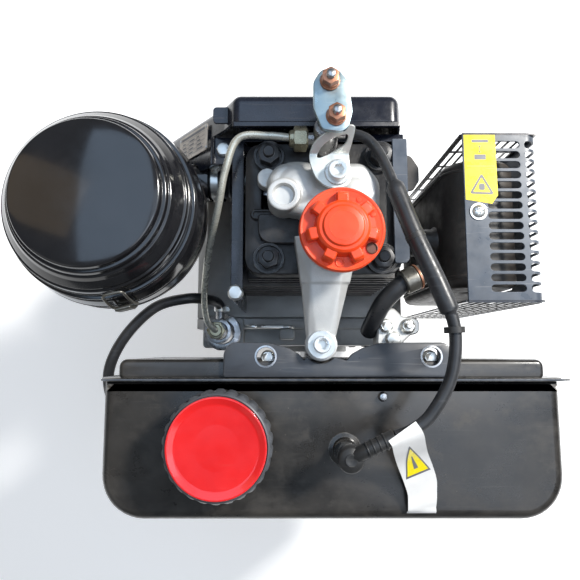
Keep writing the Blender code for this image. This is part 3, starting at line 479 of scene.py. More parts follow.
def finish_look(name, base, second=None, rough=0.4, rough_spread=0.12, metal=0.0, coat=0.0, coat_rough=0.05,
                grain=900, grain_depth=0.00008, grain_strength=0.35, waves=0.0, blotch=25, wear=None, wear_amount=0.6,
                dust=0.0, dust_colour=(0.42, 0.38, 0.32), specks=0.0, scratches=0.0, smudges=0.0, sheen=0.0, haze=0.0):
    """One surface: its colour drifts, its roughness varies, it has grain, and wear on its edges."""
    graph = Graph(name)
    second = second or tuple(min(1.0, c * 1.35 + 0.004) for c in base)
    drift = graph.ramp(graph.noise(blotch, 5.0, 0.6), 0.32, 0.68)
    colour = graph.mix(drift, base, second)
    fine = graph.noise(grain, 3.0, 0.6)
    rough_value = graph.ramp(graph.noise(blotch * 3.1, 6.0, 0.65), 0.3, 0.7, max(0.02, rough - rough_spread),
                             min(1.0, rough + rough_spread))
    metal_value = metal
    if haze:
        facing = graph.add("SeparateXYZ", Vector=graph.add("NewGeometry").outputs["Normal"]).outputs["Z"]
        cloud = graph.math("MULTIPLY", graph.ramp(graph.noise(9, 5.0, 0.62), 0.42, 0.72), haze)
        cloud = graph.math("MULTIPLY", cloud, graph.ramp(facing, 0.6, 0.98))
        colour = graph.mix(cloud, colour, dust_colour)
        rough_value = graph.math("ADD", rough_value, cloud)
    if smudges:
        smear = graph.noise(17, 7.0, 0.7, (1.0, 1.6, 1.0))
        smear = graph.ramp(smear, 0.5, 0.72)
        print_marks = graph.ramp(graph.noise(46, 8.0, 0.75), 0.56, 0.66)
        smear = graph.math("MAXIMUM", smear, graph.math("MULTIPLY", print_marks, 0.7))
        rough_value = graph.math("ADD", rough_value, graph.math("MULTIPLY", smear, 0.3 * smudges))
        colour = graph.mix(graph.math("MULTIPLY", smear, 0.07 * smudges), colour, dust_colour)
    if specks:
        cells = graph.add("TexVoronoi", {"feature": "F1"}, Vector=graph.place, Scale=240.0, Randomness=1.0)
        spots = graph.ramp(cells.outputs["Distance"], 0.02, 0.09, 1.0, 0.0)
        chance = graph.ramp(cells.outputs["Color"], 0.83, 0.86)
        speck = graph.math("MULTIPLY", graph.math("MULTIPLY", spots, chance), specks * 0.45)
        colour = graph.mix(speck, colour, dust_colour)
        rough_value = graph.math("MAXIMUM", rough_value, graph.math("MULTIPLY", speck, 0.9))
    if scratches:
        lines = graph.noise(23, 1.0, 0.4, (1.0, 24.0, 6.0), 0.62)
        lines_two = graph.noise(19, 1.0, 0.4, (1.0, 27.0, 7.0), 2.3)
        fine_lines = graph.math("MAXIMUM", graph.ramp(lines, 0.71, 0.75), graph.ramp(lines_two, 0.72, 0.76))
        fine_lines = graph.math("MULTIPLY", fine_lines, scratches)
        colour = graph.mix(graph.math("MULTIPLY", fine_lines, 0.4), colour, wear or dust_colour)
        rough_value = graph.math("ADD", rough_value, graph.math("MULTIPLY", fine_lines, 0.25))
    geometry = graph.add("NewGeometry")
    if wear:
        soft = graph.add("Bevel", {"samples": 3}, Radius=0.0006).outputs[0]
        likeness = graph.add("VectorMath", {"operation": "DOT_PRODUCT"}, i0=soft, i1=geometry.outputs["Normal"])
        edge = graph.ramp(likeness.outputs["Value"], 0.985, 0.88)
        chipped = graph.math("MULTIPLY", edge, graph.ramp(graph.noise(160, 6.0, 0.7), 0.42, 0.6))
        worn = graph.math("MULTIPLY", chipped, wear_amount)
        colour = graph.mix(worn, colour, wear)
        if metal < 0.5:
            metal_value = graph.math("MULTIPLY", worn, 0.8)
    if dust:
        up = graph.add("SeparateXYZ", Vector=geometry.outputs["Normal"]).outputs["Z"]
        film = graph.math("MULTIPLY", graph.ramp(up, 0.5, 1.0), graph.ramp(graph.noise(38, 6.0, 0.7), 0.35, 0.75))
        film = graph.math("MULTIPLY", film, dust * 0.22)
        colour = graph.mix(film, colour, dust_colour)
        rough_value = graph.math("ADD", rough_value, graph.math("MULTIPLY", film, 1.5))
    bump = graph.add("Bump", Strength=grain_strength, Distance=grain_depth, Height=fine).outputs[0]
    if waves:
        swell = graph.noise(26, 2.0, 0.4)
        bump = graph.add("Bump", Strength=waves, Distance=0.0012, Height=swell, Normal=bump).outputs[0]
    shader = graph.add("BsdfPrincipled", Base_Color=colour, Roughness=rough_value, Metallic=metal_value, Normal=bump,
                       Coat_Weight=coat, Coat_Roughness=coat_rough, Sheen_Weight=sheen, Specular_IOR_Level=0.5)
    output = graph.add("OutputMaterial")
    graph.tree.links.new(shader.outputs[0], output.inputs[0])
    return graph.material


LOOKS = {
    "gloss_black": finish_look(
        "gloss_black_paint", (0.006, 0.006, 0.007), (0.011, 0.011, 0.013), rough=0.16, rough_spread=0.06,
        coat=0.7, coat_rough=0.09, grain=420, grain_depth=0.00005, grain_strength=0.12, waves=0.02, specks=0.5,
        dust=0.02, wear=(0.16, 0.14, 0.12), wear_amount=0.35),
    "tank_black": finish_look(
        "tank_black_paint", (0.008, 0.0077, 0.0075), (0.018, 0.0168, 0.016), rough=0.28, rough_spread=0.1,
        coat=0.35, coat_rough=0.12, grain=420, grain_depth=0.00006, grain_strength=0.15, waves=0.03, blotch=10,
        specks=0.9, dust=0.1, smudges=0.9, scratches=0.06, haze=0.07, dust_colour=(0.42, 0.36, 0.29),
        wear=(0.35, 0.33, 0.3), wear_amount=0.7),
    "satin_black": finish_look(
        "satin_black_sheet", (0.006, 0.0075, 0.014), (0.01, 0.0125, 0.022), rough=0.26, rough_spread=0.1,
        coat=0.3, coat_rough=0.2, grain=700, grain_depth=0.00006, grain_strength=0.25, waves=0.02, specks=0.5,
        dust=0.06, scratches=0.15, wear=(0.2, 0.17, 0.14), wear_amount=0.5),
    "blue_steel": finish_look(
        "guard_blued_sheet", (0.035, 0.045, 0.062), (0.09, 0.11, 0.14), rough=0.36, rough_spread=0.14,
        metal=0.35, grain=500, grain_depth=0.00006, grain_strength=0.25, blotch=18, scratches=0.5, specks=0.6,
        dust=0.05, wear=(0.3, 0.3, 0.31), wear_amount=0.7),
    "cast": finish_look(
        "bare_cast_aluminium", (0.47, 0.47, 0.46), (0.62, 0.62, 0.6), rough=0.46, rough_spread=0.1, metal=0.5,
        grain=1100, grain_depth=0.00022, grain_strength=0.5, waves=0.05, blotch=30, specks=0.2,
        dust_colour=(0.3, 0.28, 0.25), wear=(0.85, 0.85, 0.83), wear_amount=0.4, smudges=0.12),
    "case_cast": finish_look(
        "case_cast_aluminium", (0.34, 0.34, 0.335), (0.46, 0.46, 0.45), rough=0.55, rough_spread=0.1, metal=0.5,
        grain=800, grain_depth=0.0003, grain_strength=0.6, waves=0.06, blotch=22, specks=0.4,
        dust_colour=(0.16, 0.14, 0.12), wear=(0.7, 0.7, 0.69), smudges=0.3),
    "dark_casting": finish_look(
        "painted_casting", (0.006, 0.006, 0.0075), (0.013, 0.0127, 0.0135), rough=0.42, rough_spread=0.15,
        grain=700, grain_depth=0.0003, grain_strength=0.55, waves=0.04, blotch=34, specks=0.8, dust=0.14,
        wear=(0.24, 0.22, 0.2)),
    "bracket_grey": finish_look(
        "bracket_dark_grey", (0.028, 0.031, 0.038), (0.048, 0.053, 0.062), rough=0.36, grain=600,
        grain_strength=0.3, blotch=20, coat=0.1, specks=0.6, dust=0.1, scratches=0.3, wear=(0.3, 0.29, 0.28),
        smudges=0.25),
    "zinc": finish_look(
        "zinc_plate", (0.66, 0.67, 0.66), (0.8, 0.8, 0.76), rough=0.33, rough_spread=0.1, metal=0.85,
        grain=1500, grain_depth=0.00005, grain_strength=0.3, blotch=45, scratches=0.3, specks=0.15,
        dust_colour=(0.35, 0.33, 0.3), wear=(0.9, 0.9, 0.9), wear_amount=0.3),
    "blue_zinc": finish_look(
        "blue_zinc_plate", (0.25, 0.34, 0.38), (0.38, 0.47, 0.5), rough=0.34, rough_spread=0.1, metal=0.75,
        grain=1500, grain_depth=0.00004, grain_strength=0.25, blotch=50, scratches=0.3,
        dust_colour=(0.35, 0.33, 0.3), wear=(0.85, 0.85, 0.85), wear_amount=0.3),
    "pale_zinc": finish_look(
        "pale_zinc_plate", (0.62, 0.64, 0.6), (0.76, 0.78, 0.74), rough_spread=0.1, metal=0.7, grain=1500,
        grain_depth=0.00004, grain_strength=0.25, blotch=70, scratches=0.3, dust_colour=(0.42, 0.4, 0.36),
        wear=(0.9, 0.9, 0.88), wear_amount=0.3),
    "yellow_zinc": finish_look(
        "yellow_zinc_plate", (0.27, 0.245, 0.16), (0.42, 0.39, 0.28), rough=0.3, rough_spread=0.1, metal=0.85,
        grain=1500, grain_depth=0.00004, grain_strength=0.25, blotch=60, scratches=0.2,
        dust_colour=(0.3, 0.26, 0.2), wear=(0.8, 0.8, 0.75), wear_amount=0.3),
    "copper": finish_look(
        "copper_plate", (0.4, 0.165, 0.09), (0.56, 0.27, 0.17), rough=0.36, rough_spread=0.1, metal=0.85,
        grain=1600, grain_depth=0.00004, grain_strength=0.25, blotch=90, dust_colour=(0.25, 0.12, 0.08),
        scratches=0.25, wear=(0.95, 0.7, 0.55), wear_amount=0.5),
    "steel": finish_look(
        "machined_steel", (0.4, 0.4, 0.41), (0.56, 0.56, 0.56), rough=0.3, rough_spread=0.1, metal=1.0,
        grain=1400, grain_depth=0.00004, grain_strength=0.3, blotch=60, scratches=0.5,
        dust_colour=(0.2, 0.18, 0.16), wear=(0.8, 0.8, 0.8), wear_amount=0.4),
    "iron": finish_look(
        "grey_iron", (0.09, 0.09, 0.09), (0.17, 0.16, 0.155), rough=0.6, metal=0.6, grain=800,
        grain_depth=0.0003, grain_strength=0.6, blotch=30, dust=0.05, wear=(0.35, 0.34, 0.33), wear_amount=0.5),
    "black_oxide": finish_look(
        "black_oxide_steel", (0.02, 0.02, 0.021), (0.045, 0.045, 0.047), rough=0.34, metal=0.5, grain=1500,
        grain_depth=0.00005, grain_strength=0.3, blotch=80, dust=0.08, wear=(0.4, 0.39, 0.37), wear_amount=0.7),
    "rubber": finish_look(
        "black_rubber", (0.012, 0.012, 0.012), (0.022, 0.022, 0.022), rough=0.46, rough_spread=0.1,
        grain_depth=0.00012, blotch=50, dust=0.08, scratches=0.2, sheen=0.05),
    "orange": finish_look(
        "orange_plastic", (0.78, 0.05, 0.006), (0.86, 0.075, 0.01), rough=0.36, rough_spread=0.08, grain=1200,
        grain_depth=0.0001, grain_strength=0.25, blotch=30, coat=0.15, coat_rough=0.15, scratches=0.12,
        dust_colour=(0.75, 0.35, 0.2), wear=(1.0, 0.3, 0.12), wear_amount=0.4),
    "red": finish_look(
        "red_plastic", (0.6, 0.009, 0.01), (0.72, 0.016, 0.016), rough=0.2, rough_spread=0.07, coat=0.5,
        coat_rough=0.06, grain=500, grain_strength=0.15, waves=0.05, blotch=22, specks=0.3, scratches=0.12,
        dust_colour=(0.5, 0.2, 0.18)),
    "grey_plastic": finish_look(
        "dark_grey_plastic", (0.05, 0.054, 0.062), (0.085, 0.09, 0.1), rough=0.42, rough_spread=0.08,
        grain_depth=0.0001, grain_strength=0.3, blotch=35, dust=0.08, scratches=0.15, wear=(0.2, 0.2, 0.21),
        wear_amount=0.4),
    "black_plastic": finish_look(
        "black_plastic", (0.014, 0.014, 0.015), (0.026, 0.026, 0.028), rough=0.38, rough_spread=0.1,
        grain_depth=0.00012, blotch=35, dust=0.06, scratches=0.15, wear=(0.12, 0.12, 0.12), wear_amount=0.4),
    "paper": finish_look(
        "filter_paper", (0.7, 0.64, 0.46), (0.78, 0.73, 0.57), rough=0.9, rough_spread=0.05, grain=1400,
        grain_depth=0.0001, grain_strength=0.4, blotch=40),
    "tag_paper": finish_look(
        "coated_tag_paper", (0.72, 0.71, 0.69), (0.82, 0.81, 0.79), rough=0.5, rough_spread=0.1,
        grain_strength=0.3, waves=0.1, blotch=40, smudges=0.2, dust_colour=(0.5, 0.48, 0.45)),
    "label_yellow": finish_look(
        "yellow_label_film", (0.93, 0.73, 0.005), (0.98, 0.8, 0.02), rough=0.28, rough_spread=0.08, grain=800,
        grain_depth=0.00006, grain_strength=0.25, waves=0.05, blotch=30, coat=0.3, coat_rough=0.1,
        scratches=0.2, dust_colour=(0.6, 0.5, 0.1)),
    "label_print": finish_look(
        "label_print", (0.12, 0.12, 0.13), (0.18, 0.18, 0.2), rough_spread=0.08, grain_depth=0.00004,
        grain_strength=0.2, blotch=60),
    "dull_zinc": finish_look(
        "dull_zinc_wire", (0.15, 0.14, 0.12), (0.27, 0.26, 0.23), rough=0.36, metal=0.85, grain=1500,
        grain_depth=0.00004, grain_strength=0.25, blotch=70, specks=0.3, wear=(0.6, 0.58, 0.54),
        wear_amount=0.5),
    "plate_metal": finish_look(
        "rating_plate_metal", (0.42, 0.37, 0.32), (0.58, 0.53, 0.47), rough=0.38, metal=0.6, grain=1500,
        grain_depth=0.00004, grain_strength=0.3, blotch=60, scratches=0.4, specks=0.4,
        dust_colour=(0.2, 0.17, 0.14)),
    "muffler_paint": finish_look(
        "muffler_heat_paint", (0.022, 0.019, 0.017), (0.05, 0.042, 0.036), rough=0.42, rough_spread=0.14,
        metal=0.25, grain=700, grain_depth=0.0002, grain_strength=0.45, waves=0.05, blotch=26, specks=0.7,
        dust=0.12, wear=(0.22, 0.16, 0.12), smudges=0.4, scratches=0.2),
    "vent_brown": finish_look(
        "vent_brown_plastic", (0.09, 0.03, 0.015), (0.14, 0.05, 0.03), rough=0.5, rough_spread=0.1, blotch=80),
    "hose": finish_look(
        "hose_rubber", (0.014, 0.015, 0.017), (0.03, 0.031, 0.034), rough=0.36, grain=800, grain_depth=0.0001,
        blotch=60, dust=0.06, scratches=0.35, specks=0.5, sheen=0.04, wear=(0.14, 0.14, 0.14), wear_amount=0.3),
    "pipe_zinc": finish_look(
        "pipe_yellowed_zinc", (0.56, 0.55, 0.47), (0.66, 0.65, 0.57), rough=0.28, rough_spread=0.08, metal=0.55,
        grain=1300, grain_depth=0.00004, grain_strength=0.25, blotch=55, specks=0.1,
        dust_colour=(0.3, 0.27, 0.2), wear=(0.85, 0.85, 0.82), wear_amount=0.3),
}


# ---------------------------------------------------------------- putting pieces in place


def piece(name, shape, look, body="engine", replaces=(), bevel=0.0, segments=2, angle=30, sharp=35):
    """Names a shape, rounds its edges, gives it its finish and hangs it on its body."""
    shape.name = name
    shape.data.name = name
    shape.data.materials.clear()
    shape.data.materials.append(LOOKS[look])
    shape.data.shade_smooth()
    if bevel:
        edge = shape.modifiers.new("edge", "BEVEL")
        edge.width = bevel * MM
        edge.segments = segments
        edge.limit_method = "ANGLE"
        edge.angle_limit = math.radians(angle)
        edge.use_clamp_overlap = False
        edge.miter_outer = "MITER_ARC"
        edge.harden_normals = True
    else:
        shape.data.set_sharp_from_angle(angle=math.radians(sharp))
    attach(shape, body)
    if replaces:
        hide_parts(*([replaces] if isinstance(replaces, str) else replaces))
    return shape


def dress_node(node, look, bevel):
    """A CAD node that stays: a finish, and fine edges by modifiers."""
    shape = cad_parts[node]
    shape.data.materials.clear()
    shape.data.materials.append(LOOKS[look])
    shape.data.shade_smooth()
    weld = shape.modifiers.new("weld", "WELD")
    weld.merge_threshold = 1e-5
    flat = shape.modifiers.new("flat", "DECIMATE")
    flat.decimate_type = "DISSOLVE"
    flat.angle_limit = math.radians(1.5)
    if bevel:
        edge = shape.modifiers.new("edge", "BEVEL")
        edge.width = bevel * MM
        edge.segments = 2
        edge.limit_method = "ANGLE"
        edge.angle_limit = math.radians(32)
        edge.use_clamp_overlap = False
        edge.harden_normals = True


# ---------------------------------------------------------------- more shapes


def layered(outline, levels, axis="Z"):
    """An outline stacked at levels of (place along the axis, inset), which rounds the rims of a solid."""
    bm = bmesh.new()
    rings = []
    for level, distance in levels:
        ring = inset(outline, distance) if distance else outline
        rings.append([bm.verts.new(to_world(axis, a, b, level)) for a, b in ring])
    bm.faces.new(rings[0])
    bm.faces.new(rings[-1])
    count = len(outline)
    for near, far in zip(rings, rings[1:]):
        for i in range(count):
            j = (i + 1) % count
            bm.faces.new((near[i], near[j], far[j], far[i]))
    return make_object(bm)


def round_levels(low, high, radius, steps=5):
    """Levels for layered() that round both rims."""
    curve = [math.pi / 2 * i / steps for i in range(steps + 1)]
    below = [(low + radius * (1 - math.sin(a)), radius * (1 - math.cos(a))) for a in reversed(curve)]
    above = [(high - radius * (1 - math.sin(a)), radius * (1 - math.cos(a))) for a in curve]
    return below + above


def slot_outline(x0, x1, y, width, steps=6):
    """A long hole with round ends, along the first axis."""
    half = width / 2
    return arc((x1 - half, y), half, -90, 90, steps) + arc((x0 + half, y), half, 90, 270, steps)


def placed(shape, origin, along, across):
    """Lays a shape that was made flat (X along, Y across, Z up) on a plane in space."""
    along = Vector(along).normalized()
    up = along.cross(Vector(across)).normalized()
    frame_axes = Matrix((along, up.cross(along), up)).transposed().to_4x4()
    return move(shape, Matrix.Translation(Vector(origin) * MM) @ frame_axes)


def bent(sheet, fold, lines, across):
    """A flat sheet, cut at each line square to the direction across, then bent by fold."""
    bm = bmesh.new()
    bm.from_mesh(sheet.data)
    for line in lines:
        bmesh.ops.bisect_plane(bm, geom=bm.verts[:] + bm.edges[:] + bm.faces[:],
                               plane_co=tuple(part * line * MM for part in across), plane_no=across, dist=1e-7)
    for vert in bm.verts:
        vert.co = fold(*(vert.co / MM)) * MM
    bm.to_mesh(sheet.data)
    bm.free()
    return sheet


def clamp_ring(radius, foot, direction, width=7.0, ear_turn=0.0):
    """A hose clamp: a band with its screw housing."""
    band = turned([(-width / 2, radius), (-width / 2, radius + 0.9), (width / 2, radius + 0.9), (width / 2, radius)],
                  steps=SMALL_RING)
    ear = block((radius, radius + 5), (-4, 4), (-width / 2, width / 2), 1.2)
    pin = cylinder(2.2, -6.5, 6.5, (radius + 3.2, 0), "Y", 20)
    shapes = together([band, ear, pin])
    turn(shapes, ear_turn, "Z")
    return aim(shapes, foot, direction)


# ---------------------------------------------------------------- air cleaner


def air_cleaner():
    crown = [(431.9 - 4.2 * (r / 51) ** 2.4, r) for r in (8, 16, 24, 31, 37, 42, 46, 49, 51)]
    steps = fillet([(427.7, 51), (426.6, 56.2), (422.2, 57.4), (421.2, 56.7), (420.8, 59.6), (417.6, 60.9),
                    (416.7, 60.2), (416.2, 62.4), (412.4, 64.6), (406.4, 69.8), (404.6, 69.9), (404.2, 71.8),
                    (400.4, 72.6), (399.6, 72.0), (399.2, 73.3), (393.6, 73.6), (392.5, 72.6)],
                   [0, 2.8, 0.8, 0.3, 1.4, 0.8, 0.3, 1.4, 4.5, 1.2, 0.3, 1.0, 0.8, 0.3, 0.8, 0.8, 0.3], 5, False)[1:]
    inside = [(392.5, 70.8), (402, 70.4), (406, 66.8), (411, 61.4), (418, 57.3), (423.5, 51.8), (427.8, 33), (429.8, 0)]
    cover = turned([(432.0, 0)] + crown + steps + inside, CLEANER, steps=144)
    piece("cleaner_cover", cover, "gloss_black", "cleaner_cover", "air_cleaner_cover", sharp=50)

    outer = fillet([(314, 0), (314, 44), (319, 60), (330, 75.8), (346, 79.4), (372, 79.4), (383, 77), (385, 74.6),
                    (389, 74.4), (390, 76.2), (392, 76.0), (392.1, 73.0)],
                   [0, 10, 10, 12, 8, 10, 2, 1, 1, 0.7, 0.7, 0.4], 5, False)
    wall = [(392.1, 71.2), (384, 73.2), (372, 77), (346, 77), (332, 73.5), (322, 58), (317, 43), (317, 0)]
    bowl = turned(outer + wall, CLEANER, steps=144)
    beads = [turned([(z - 1.4, 79.2), (z - 0.9, 79.95), (z + 0.9, 79.95), (z + 1.4, 79.2), (z + 0.9, 78.8),
                     (z - 0.9, 78.8)], CLEANER, steps=144) for z in (351, 368)]
    boss = sleeve(12, 15.5, -118, -99.9, (40, 338), "X", 48)
    lip = sleeve(12, 16.6, -102.6, -99.9, (40, 338), "X", 48)
    piece("cleaner_bowl", together([bowl, *beads, boss, lip]), "gloss_black", replaces="air_cleaner_bowl", sharp=50)


def cleaner_clip():
    """The over-centre clip: a pressed lever and a wire bail, out from the bowl at the clip's own angle."""
    low, high = node_box("air_cleaner_clip")
    away = Vector(((low.x + high.x) / 2 - CLEANER[0], (low.y + high.y) / 2 - CLEANER[1])).normalized()
    side = Vector((-away.y, away.x))

    def at(radial, sideways, level):
        flat = Vector(CLEANER) + away * radial + side * sideways
        return (flat.x, flat.y, level)

    def radial(reach, sideways, rise):
        return at(reach + 9.5, sideways, rise + 30)

    shapes = []
    for edge in (-8.5, 8.5):
        shapes.append(tube([radial(71.5, edge, 341), radial(72.4, edge, 352), radial(70.2, edge * 0.98, 364),
                            radial(66.6, edge * 0.95, 374)], 1.1, 6, 4))
    shapes.append(tube([radial(66.6, -8.1, 374), radial(65.6, -6, 376), radial(65.4, 0, 376.4), radial(65.6, 6, 376),
                        radial(66.6, 8.1, 374)], 1.1, 8, 4))
    lever = [(81.4, 364), (82.6, 363), (85.6, 373), (86, 387), (83.6, 388), (82.4, 376)]
    plate = slab(fillet(lever, 1.5, 3), -6.2, 6.2, "Y")
    place = Matrix.Translation(Vector((*CLEANER, 0)) * MM)
    place @= Matrix((away.to_3d(), side.to_3d(), Vector((0, 0, 1)))).transposed().to_4x4()
    shapes.append(move(plate, place))
    shapes.append(tube([radial(72, -9, 341), radial(72, 9, 341)], 1.6, 2, 4))
    piece("cleaner_clip", together(shapes), "dull_zinc", "clip", "air_cleaner_clip", bevel=0.3, angle=40)


def intake():
    low, high = node_box("intake_elbow")
    centre = ((low.y + high.y) / 2, (low.z + high.z) / 2)
    profile = [(low.x, 11.2), (low.x, 13.8), (low.x + 9, 13.8)]
    folds = 3
    width = (high.x - low.x - 20) / folds
    for i in range(folds):
        start = low.x + 10 + i * width
        profile += [(start + width * 0.2, 12.2), (start + width * 0.4, 12.2), (start + width * 0.62, 13.9),
                    (start + width * 0.85, 13.9)]
    profile += [(high.x - 10, 13.2), (high.x, 13.2), (high.x, 11.2)]
    elbow = turned(profile, centre, "X", 64)
    piece("intake_hose", elbow, "rubber", replaces="intake_elbow", bevel=0.7, angle=25)
    for n, x in enumerate((low.x + 5, high.x - 5.5), 1):
        piece(f"intake_clamp_{n}", clamp_ring(13.6, (x, *centre), (1, 0, 0), 6.5, -0.6), "zinc", bevel=0.25)


# ---------------------------------------------------------------- fan housing and cowl


def housing_outline():
    corners = [(84, 292), (72, 330), (63, 384), (58, 400), (-72, 400), (-82, 383), (-150, 300), (-150, 210)]
    curve = arc((0, CRANK_Z), 121, 200, 390, 54)
    return fillet(curve + corners, [0.0] * len(curve) + [20, 30, 9, 9, 9, 9, 14, 16], 7)


def fan_housing():
    outline = housing_outline()
    front, back = HOUSING_LOW.y, HOUSING_HIGH.y
    shallow = 94.0

    above = [(back + 1, 250), (shallow - 10, 300), (front - 5, 300), (front - 5, 402), (130, 402), (130, 250)]
    rounded = [(shallow - 7.5, 0.0), (shallow - 5.2, 0.4), (shallow - 3, 1.4), (shallow - 1.1, 3.2),
               (shallow - 0.3, 5.2), (shallow, 7.5)]
    rim = [(back - 4.5, 0.0), (back - 2.6, 0.4), (back - 1.1, 1.5), (back - 0.3, 3.0), (back, 4.6)]
    shell = cut(layered(outline, [(front, 0.0)] + rim, "Y"), slab(above, -ROOM, ROOM, "X"))
    join(shell, layered(outline, [(front, 0.0)] + rounded, "Y"))
    sheet = 2.2
    lowered = [(a - sheet, b - 2) for a, b in above]
    room = cut(layered(inset(outline, sheet), [(front - 1, 0), (back - 6, 0), (back - 2.3, 3.2)], "Y"),
               slab(lowered, -ROOM, ROOM, "X"))
    inner = [(level - sheet, min(reach, 6.0)) for level, reach in rounded]
    join(room, layered(inset(outline, sheet), [(front - 1, 0.0)] + inner, "Y"))
    cut(shell, room, cylinder(86, front, back + 2, (0, CRANK_Z), "Y", 96))
    piece("fan_shroud", shell, "satin_black", replaces="fan_housing", bevel=1.0, segments=3, angle=32)

    lip = slab(fillet([(-74, 395.6), (60, 395.6), (60, 399.7), (-74, 399.7)], 1.6, 3), 66.5, front + 0.4, "Y")
    tab = block((-91, -76), (74, 88), (386.2, 388.4), 3)
    piece("shroud_lip", together([lip, tab]), "satin_black", bevel=0.5)
    screws = []
    for x, z in ((-140, 228), (86, 236), (106, 158), (-94, 62), (94, 62)):
        screws.append(bolt(8, (x, back - 0.4, z), (0, 1, 0), 5.0, 7.2))
    piece("shroud_screws", together(screws), "zinc", bevel=0.25)

    nameplate()


def nameplate():
    """The rating plate on the housing's slope, with rows of plain marks in place of text."""
    tones = (("rating_plate", "plate_metal"), ("rating_plate_print", "label_print"), ("rating_plate_rivets", "steel"))
    slope = Vector((68, 0, 83))
    foot = Vector((-150, 73, 300))
    plate = slab(box_outline(34.2, 83.8, -11.8, 11.8, 2.5), 1.7, 2.3)
    marks = []
    for row in range(5):
        marks.append(block((39, 79), (-8.6 + row * 3.7, -8.3 + row * 3.7), (2.25, 2.38)))
    for column in (51, 65):
        marks.append(block((column, column + 0.3), (-8.6, 6.5), (2.25, 2.38)))
    for row in range(4):
        for column, reach in ((40.5, 8 - row), (52.5, 6 + row), (66.5, 9 - 2 * row)):
            marks.append(block((column, column + reach), (-7.6 + row * 3.7, -6.2 + row * 3.7), (2.25, 2.4)))
    marks.append(block((39, 79), (7.6, 9.8), (2.25, 2.4), 0.5))
    rivets = [turned([(2.2, 0), (2.2, 1.5), (2.7, 1.2), (2.95, 0)], (x, y), steps=20)
              for x in (36.4, 81.6) for y in (-9.4, 9.4)]
    for (name, look), shape in zip(tones, (plate, together(marks), together(rivets))):
        piece(name, placed(shape, foot, slope, (0, 1, 0)), look, bevel=0.1 if name == "rating_plate" else 0,
              replaces="nameplate" if name == "rating_plate" else ())


def starter():
    low, high = RECOIL_LOW.y, RECOIL_HIGH.y
    centre = (0.0, CRANK_Z)
    outside = fillet([(low + 0.2, 99), (low + 3.6, 99), (low + 3.6, 93.2), (150, 88.6), (158.2, 64), (high, 48),
                      (high, 0)], [0, 1.0, 2.5, 12, 9, 4, 0], 6, False)
    inside = fillet([(157.6, 0), (157.5, 57), (148, 85.3), (low + 0.2, 90)], 6, 5, False)
    dome = turned(outside + inside, centre, "Y", 120)
    slots = []
    for n in range(10):
        slots.append(slab(slot_outline(61, 79.5, 0, 8, 8), 140, 165, "Y"))
        turn(slots[-1], -math.radians(18 + 36 * n), "Y")
        shift(slots[-1], 0, 0, CRANK_Z)
    cut(dome, together(slots))
    rope_place = Vector((math.cos(math.radians(125)), 0, math.sin(math.radians(125))))
    eye = cylinder(4, 86, 100, steps=24)
    cut(dome, aim(eye, Vector((0, 129, CRANK_Z)), rope_place))
    post = cylinder(8, 120, 158.4, centre, "Y")
    piece("recoil_cover", together([dome, post]), "satin_black", replaces="recoil_housing", bevel=0.5, angle=45)
    ring = turned([(high - 0.6, 20), (high - 0.1, 21), (high - 0.1, 44), (high - 0.6, 45)], centre, "Y", 96)
    piece("recoil_badge", ring, "bracket_grey", sharp=30)
    bolts = []
    for n in range(4):
        angle = math.radians(45 + 90 * n)
        foot = (96 * math.cos(angle), low + 3.4, CRANK_Z + 96 * math.sin(angle))
        bolts.append(bolt(8, foot, (0, 1, 0), 4.8, 6.6))
    piece("recoil_screws", together(bolts), "zinc", bevel=0.25)

    grip_row = [(-32, 0), (-32, 5.5)] + [(x, 8.8 - 2.6 * (abs(x) / 32) ** 2.6 - (0.5 if x % 8 == 0 else 0))
                                         for x in range(-30, 31, 2)] + [(32, 5.5), (32, 0)]
    grip = turned(fillet(grip_row, 0.8, 2, False), (0, 0), "X", 48)
    shift(grip, 0, 0, 119)
    stem = turned([(101.2, 0), (101.2, 5.6), (103, 6.9), (112, 7.0), (116, 9.5), (119, 9.5), (119, 0)], steps=40)
    handle = together([grip, stem])
    lean = Matrix.Translation(Vector((0, 129, CRANK_Z)) * MM) @ Matrix.Rotation(math.radians(-35), 4, "Y")
    piece("pull_handle", move(handle, lean), "black_plastic", "handle", "starter_handle", bevel=0.4, angle=40)


# ---------------------------------------------------------------- muffler and its guard


def muffler():
    low, high = node_box("muffler")
    body_low = 196.0
    body = layered(box_outline(101, high.x, body_low, high.z, 24, 8), round_levels(low.y, high.y, 7), "Y")
    seams = []
    for y in (low.y + 9, high.y - 9):
        seam = layered(box_outline(100.2, high.x, body_low - 0.8, high.z - 0.1, 24.4, 8),
                       [(y - 2, 1.4), (y - 1, 0.0), (y + 1, 0.0), (y + 2, 1.4)], "Y")
        seams.append(shift(seam, -0.2))
    inlet = turned([(62.6, 0), (62.6, 12), (98, 12), (100, 14), (104, 14), (104, 0)], (-15, 338), "X", 48)
    outlet = sleeve(7.6, 10, 178.2, 205, (134, -30), "Z", 40)
    rib = layered(box_outline(118, 148, 230, 350, 12, 6), [(low.y - 0.1, 2.5), (low.y + 2, 0), (low.y + 4, 0)], "Y")
    piece("muffler_shell", together([body, *seams, inlet, outlet, rib]), "muffler_paint", replaces="muffler", bevel=0.4,
          angle=50)


